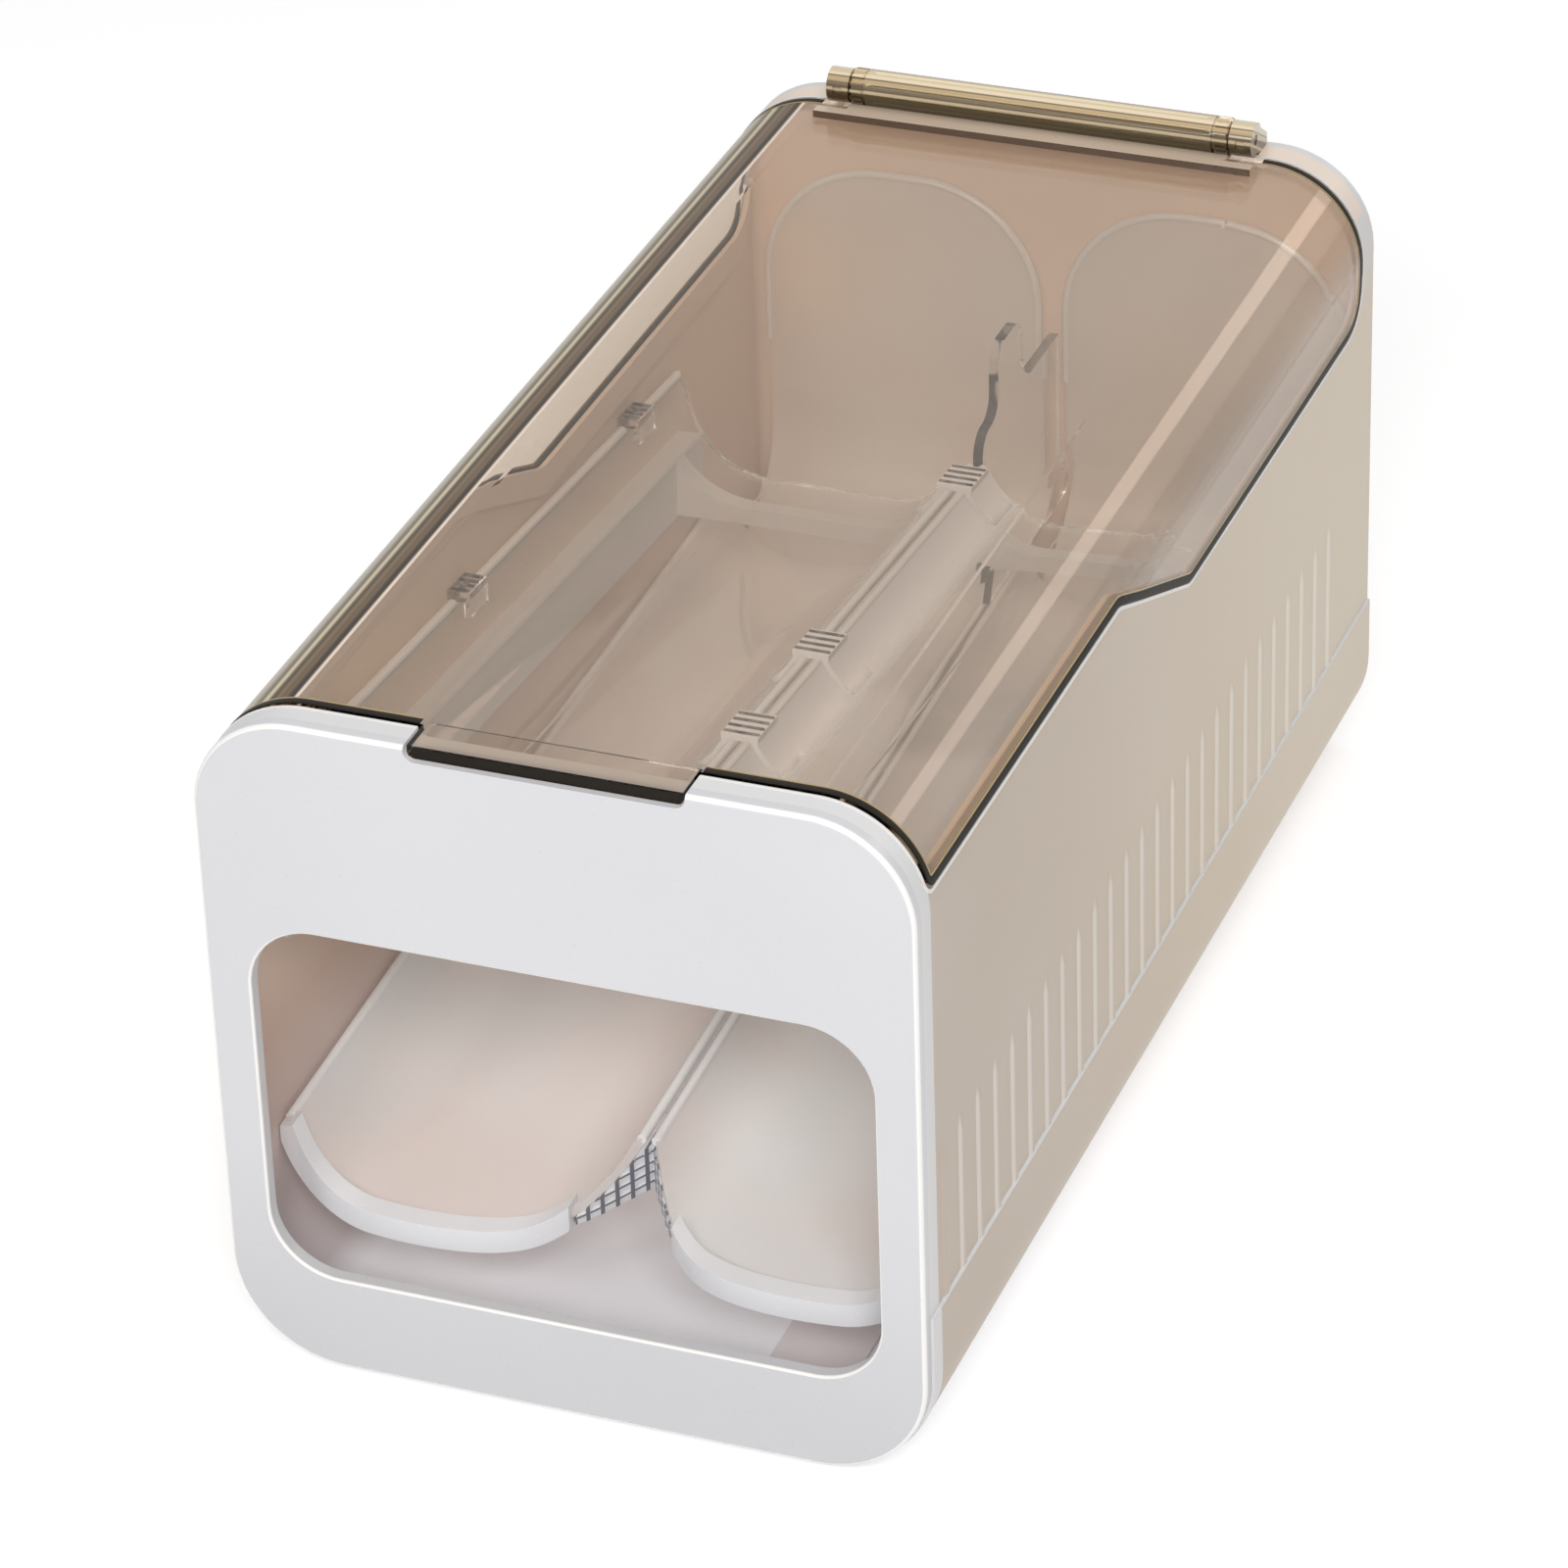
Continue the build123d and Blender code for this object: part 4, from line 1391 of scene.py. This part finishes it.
@dataclass
class Studio:
    """Floor, soft lamps, pale surroundings and the camera."""

    azimuth: float = 21.83
    elevation: float = 31.21
    roll: float = -1.99
    target: Vector = field(default_factory=lambda: Vector((-11.85, 0.0, 65.26)) * MM)
    distance: float = 1.5358
    focal_pixels: float = 6822.28
    image_pixels: float = 1600.0
    sensor: float = 36.0
    ambient: float = 0.27
    floor_half: float = 12.0
    floor_colour: Colour = grey(0.93)
    floor_lift: float = 0.38

    def build(self) -> None:
        """Make all of the studio, in which colours show as they are written."""
        bpy.context.scene.view_settings.view_transform = "Standard"
        self.floor()
        self.surroundings()
        for lamp in LAMPS:
            lamp.build()
        self.camera()

    def floor(self) -> None:
        """A large pale floor, which the camera sees as white away from the shadow."""
        mesh = bpy.data.meshes.new("floor")
        half = self.floor_half
        corners = [(-half, -half, 0), (half, -half, 0), (half, half, 0), (-half, half, 0)]
        mesh.from_pydata(corners, [], [(0, 1, 2, 3)])
        floor = bpy.data.objects.new("floor", mesh)
        bpy.context.scene.collection.objects.link(floor)
        graph = Graph.material("floor_white")
        matt = graph.principled(
            Base_Color=self.floor_colour, Roughness=0.9, Specular_IOR_Level=0.1
        )
        glow = graph.add("ShaderNodeEmission")
        lift = graph.product(graph.rays(LOOKING), self.floor_lift)
        graph.feed(glow.inputs["Strength"], lift)
        both = graph.add("ShaderNodeAddShader")
        graph.feed(both.inputs[0], matt.outputs[0])
        graph.feed(both.inputs[1], glow.outputs[0])
        mesh.materials.append(graph.show(both.outputs[0]))

    def surroundings(self) -> None:
        """Even pale light from all round, white where it is looked at."""
        world = bpy.data.worlds.new("studio_world")
        bpy.context.scene.world = world
        graph = Graph(world, "ShaderNodeOutputWorld")
        lights = []
        for strength in (self.ambient, 1.0):
            light = graph.add("ShaderNodeBackground")
            graph.feed(light.inputs["Color"], grey(1.0))
            graph.feed(light.inputs["Strength"], strength)
            lights.append(light.outputs[0])
        graph.show(graph.layer(graph.rays(LOOKING), *lights))

    def camera(self) -> None:
        """The camera at the photograph's viewing angle."""
        azimuth, elevation, roll = map(math.radians, (self.azimuth, self.elevation, self.roll))
        back = Vector(
            (
                math.sin(azimuth) * math.cos(elevation),
                -math.cos(azimuth) * math.cos(elevation),
                math.sin(elevation),
            )
        )
        right = (-back).cross(UP).normalized()
        up = right.cross(-back)
        turned_right = math.cos(roll) * right + math.sin(roll) * up
        turned_up = -math.sin(roll) * right + math.cos(roll) * up
        data = bpy.data.cameras.new("camera")
        data.sensor_width = self.sensor
        data.lens = self.focal_pixels / self.image_pixels * self.sensor
        camera = bpy.data.objects.new("camera", data)
        turn = Matrix((turned_right, turned_up, back)).transposed()
        place = self.target + back * self.distance
        camera.matrix_world = Matrix.Translation(place) @ turn.to_4x4()
        bpy.context.scene.collection.objects.link(camera)
        bpy.context.scene.camera = camera


CLIPS = ("upper_ridge_clips", "upper_side_clips")

# Distance from the middle and colour of each band along the lid's corner: dark bands are painted
# shade, pale and gold bands painted highlights.
PAINTED_CORNER_TONES = (
    (59.90 * MM, (0.93, 0.78, 0.66)),
    (60.35 * MM, (0.89, 0.75, 0.62)),
    (60.80 * MM, (0.08, 0.05, 0.025)),
    (61.20 * MM, (0.015, 0.008, 0.003)),
    (61.80 * MM, (0.02, 0.012, 0.005)),
    (62.20 * MM, (0.08, 0.05, 0.025)),
    (62.80 * MM, (0.165, 0.105, 0.05)),
    (63.45 * MM, (0.12, 0.07, 0.03)),
    (64.20 * MM, (0.18, 0.115, 0.055)),
    (64.90 * MM, (0.185, 0.12, 0.055)),
    (65.40 * MM, (0.05, 0.028, 0.008)),
    (65.90 * MM, (0.045, 0.025, 0.006)),
    (66.50 * MM, (0.20, 0.13, 0.055)),
    (67.10 * MM, (0.70, 0.59, 0.40)),
    (67.90 * MM, (0.70, 0.59, 0.40)),
    (68.50 * MM, (0.14, 0.10, 0.045)),
    (69.50 * MM, (0.17, 0.13, 0.08)),
    (70.80 * MM, (0.46, 0.40, 0.31)),
    (75.60 * MM, (0.70, 0.64, 0.54)),
)


@dataclass(frozen=True)
class Dispenser:
    """The whole dispenser: its CAD nodes dressed, and the fine pieces around them."""

    frame: dict
    boxes: Boxes
    rim_depth: float = 8.6 * MM
    inner_x: float = 77.6 * MM
    back_wall: float = 2.6 * MM
    arch_depth: float = 9.0 * MM
    lid_setback: float = 9.7 * MM
    lid_step: float = 20.0 * MM
    gaps: tuple[float, float, float] = (1.2 * MM, 0.7 * MM, 0.3 * MM)
    upper_floor: float = 101.8 * MM
    upper_slope: float = math.radians(-4.4)
    upper_edges: Edges = ((1.7 * MM, 13.0 * MM, 2.2 * MM), (76.15 * MM, 26.0 * MM, 0.0))
    lower_floor: float = 29.1 * MM
    lower_slope: float = math.radians(3.4)
    lower_edges: Edges = ((1.7 * MM, 13.0 * MM, 27.5 * MM), (76.15 * MM, 17.0 * MM, 7.5 * MM))
    cap_floor: float = 29.3 * MM
    rib_insets: Span = (6.3 * MM, 0.5 * MM)

    def build(self) -> None:
        """Dress and complete each sub-assembly in order."""
        self.body()
        self.lid()
        self.hinge()
        # Milky lane edges: frosted like the chutes and lower lanes they edge there, a painted
        # highlight on the clear upper lanes.
        edge = FrostedPlastic("lane_edge", (0.93, 0.92, 0.92), cover=0.8, roughness=0.13).make()
        self.rear(edge)
        self.upper_tier(edge)
        self.lower_tier(edge)
        self.clip_ribs()

    def dress(self, material: bpy.types.Material, *nodes: str) -> None:
        """Give CAD nodes one material.

        Args:
            material: The finish.
            nodes: Names of the nodes, or beginnings that several names share.
        """
        for name in self.boxes:
            if name.startswith(nodes):
                node = self.frame["nodes"][name]
                for slot in node.material_slots:
                    slot.material = material
                if not node.material_slots:
                    node.data.materials.append(material)
                LOG.info("%s: %s", name, material.name)

    def body(self) -> None:
        """Shell, front plate, carriers, floor pad and feet."""
        half_depth = self.boxes["body_shell"][1].y
        shell = ShellPlastic(
            name="shell",
            # Side colours at the front and the back; the darker front is painted shade.
            near=(0.55, 0.455, 0.365),
            far=(0.78, 0.665, 0.515),
            rim=(0.76, 0.75, 0.75),
            inner=(0.88, 0.75, 0.66),
            inner_tones_and_shade=(
                # The darker levels at 10 mm and 70 mm are painted shade.
                (6.0 * MM, (0.92, 0.92, 0.97)),
                (10.0 * MM, (0.62, 0.56, 0.58)),
                (70.0 * MM, (0.66, 0.48, 0.39)),
                (115.0 * MM, (0.98, 0.80, 0.63)),
            ),
            rim_back=self.boxes["front_panel"][0].y + self.rim_depth,
            half_depth=half_depth,
            inner_x=self.inner_x,
            inner_back=half_depth - self.back_wall,
            arch_front=half_depth - self.arch_depth,
            height=163.5 * MM,
        )
        self.dress(shell.make(), "body_shell")
        finishes = {
            "front_panel": MouldedPlastic(
                "front_white",
                (0.70, 0.70, 0.72),
                (0.675, 0.675, 0.70),
                roughness=0.3,
                # Painted shade towards the foot and painted highlights on the rounded edges.
                painted_foot_shade=0.22,
                painted_edge_highlight=0.9,
            ),
            # Painted shadow: the pad's grey darkens a patch of the inner floor.
            "floor_pad": MouldedPlastic(
                "pad_grey", (0.78, 0.73, 0.74), (0.74, 0.69, 0.71), roughness=0.7
            ),
            "foot_": MouldedPlastic(
                "foot_rubber", (0.26, 0.24, 0.22), (0.22, 0.20, 0.19), roughness=0.8
            ),
        }
        for nodes, finish in finishes.items():
            self.dress(finish.make(), nodes)
        carrier = MouldedPlastic(
            "frame_white", (0.78, 0.76, 0.75), (0.74, 0.72, 0.71), roughness=0.4
        )
        self.dress(carrier.make(), "upper_rail", "upper_beam", "lower_cradle")

    def lid(self) -> None:
        """The lid with its edge lines of painted shadow and glint, and the body's edge along it
        with a painted highlight.
        """
        tinted = ClearPlastic(
            "lid_tint",
            (0.70, 0.55, 0.38),
            density=170.0,
            roughness=0.0,
            skirt_tint=(0.78, 0.765, 0.735),
            cover=PaintedCornerBands(PAINTED_CORNER_TONES),
        )
        self.dress(tinted.make(), "lid")
        panel_low, panel_high = self.boxes["front_panel"]
        low, high = self.boxes["lid"]
        front, back, gap = self.gaps
        lid_front = panel_low.y + self.lid_setback
        step = low.z + self.lid_step
        lid_line = MouthLine(panel_high.x, high.z, lid_front, high.y, step, low.z)
        body_line = MouthLine(
            panel_high.x, high.z, lid_front - front, high.y + back, step - gap, low.z - gap
        )
        # Painted shadow and painted glint for the lid's edge, painted highlight for the body's
        # edge.
        dark = MouldedPlastic(
            "edge_painted_shadow",
            (0.010, 0.008, 0.006),
            (0.016, 0.012, 0.008),
            roughness=0.5,
            specular=0.12,
        )
        gold = MouldedPlastic(
            "edge_painted_glint", (0.45, 0.32, 0.12), (0.36, 0.26, 0.10), roughness=0.25
        )
        # Painted highlight for the body's edge.
        pale = MouldedPlastic("wall_edge_painted_highlight", (0.84, 0.82, 0.80), (0.80, 0.78, 0.76), roughness=0.3)
        LidEdge(lid_line).build(dark.make(), gold.make())
        WallEdge(body_line).build(pale.make())

    def hinge(self) -> None:
        """The barrel with its lugs, the leaf and the pin."""
        low, high = self.boxes["hinge_barrel"]
        middle = (low + high) / 2
        gold = HingeGlossPaintedBands("barrel", middle.y, middle.z, (high.z - low.z) / 2).make()
        Barrel().build(gold)
        self.dress(gold, "hinge_lug")
        leaf = MouldedPlastic(
            "leaf",
            (0.68, 0.545, 0.42),
            (0.63, 0.50, 0.38),
            roughness=0.3,
            # Painted shadow: the leaf's forward face is dark.
            painted_front_shadow=(0.12, 0.075, 0.05),
        )
        self.dress(leaf.make(), "hinge_leaf")
        self.dress(Steel("pin").make(), "hinge_pin")

    def rear(self, edge: bpy.types.Material) -> None:
        """The frosted chutes at the back, with their rims.

        Args:
            edge: Finish of the rims.
        """
        frosted = FrostedPlastic("frosted", (0.97, 0.88, 0.81), cover=0.5)
        self.dress(frosted.make(), "rear_chute")
        ChuteRims().build(edge)

    def upper_tier(self, edge: bpy.types.Material) -> None:
        """The clear lanes, their clips and the divider behind them.

        Args:
            edge: Finish of the lanes' rounded edges.
        """
        low, high = self.boxes["upper_lane_right"]
        haze = HazeAndRidgeHighlight(end=high.y)
        clear = ClearPlastic("clear_lane", grey(0.8), density=15.0, roughness=0.02, cover=haze)
        self.dress(clear.make(), "upper_lane", *CLIPS, "drop_divider")
        spans = {
            edge_x: [
                (first.y, last.y)
                for first, last in islands(self.frame["nodes"][name])
                if last.x > 0
            ]
            for (edge_x, *_), name in zip(self.upper_edges, CLIPS)
        }
        upper = LaneEdges(
            "upper_lane_edges",
            self.upper_floor,
            low.y,
            high.y,
            self.upper_slope,
            self.upper_edges,
        )
        upper.build(spans, edge, "clear_lane")

    def clip_ribs(self) -> None:
        """The cross ribs on the clips of the upper tier, coloured dark as painted shade."""
        # Painted shade: the ribs on the clear clips are near black.
        dark = MouldedPlastic(
            "clip_rib", (0.06, 0.05, 0.045), (0.35, 0.32, 0.30), roughness=0.3, cloud=400.0
        ).make()
        ribs = ClipRibs(self.upper_slope)
        for name, inset in reversed(list(zip(CLIPS, self.rib_insets))):
            ribs.build(self.frame["nodes"][name], inset, dark)

    def lower_tier(self, edge: bpy.types.Material) -> None:
        """The lower lanes with their white rims and the cap under the ridge.

        Args:
            edge: Finish of the lanes' rounded edges.
        """
        low, high = self.boxes["lower_lane_right"]
        # Milky tray with a warm pink tint, partly painted reflected light.
        tray = FrostedPlastic("lower_tray", (0.97, 0.87, 0.83), cover=0.62)
        self.dress(tray.make(), "lower_lane")
        rim = MouldedPlastic("rim_white", (0.93, 0.93, 0.95), (0.90, 0.90, 0.93), roughness=0.25)
        self.dress(rim.make(), "egg_stop")
        cap = GridPlastic("cap_grid_painted_shadow", self.cap_floor, low.y, self.lower_slope)
        self.dress(cap.make(), "lower_ridge_cap")
        lower = LaneEdges(
            "lower_lane_edges",
            self.lower_floor,
            low.y,
            high.y,
            self.lower_slope,
            self.lower_edges,
        )
        lower.build({}, edge, "lower_tray")


def main() -> None:
    """Build the looks."""
    logging.basicConfig(level=logging.INFO)
    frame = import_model()
    boxes: Boxes = {name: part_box(name) for name in frame["nodes"]}
    Studio().build()
    Dispenser(frame, boxes).build()


if __name__ == "__main__":
    main()
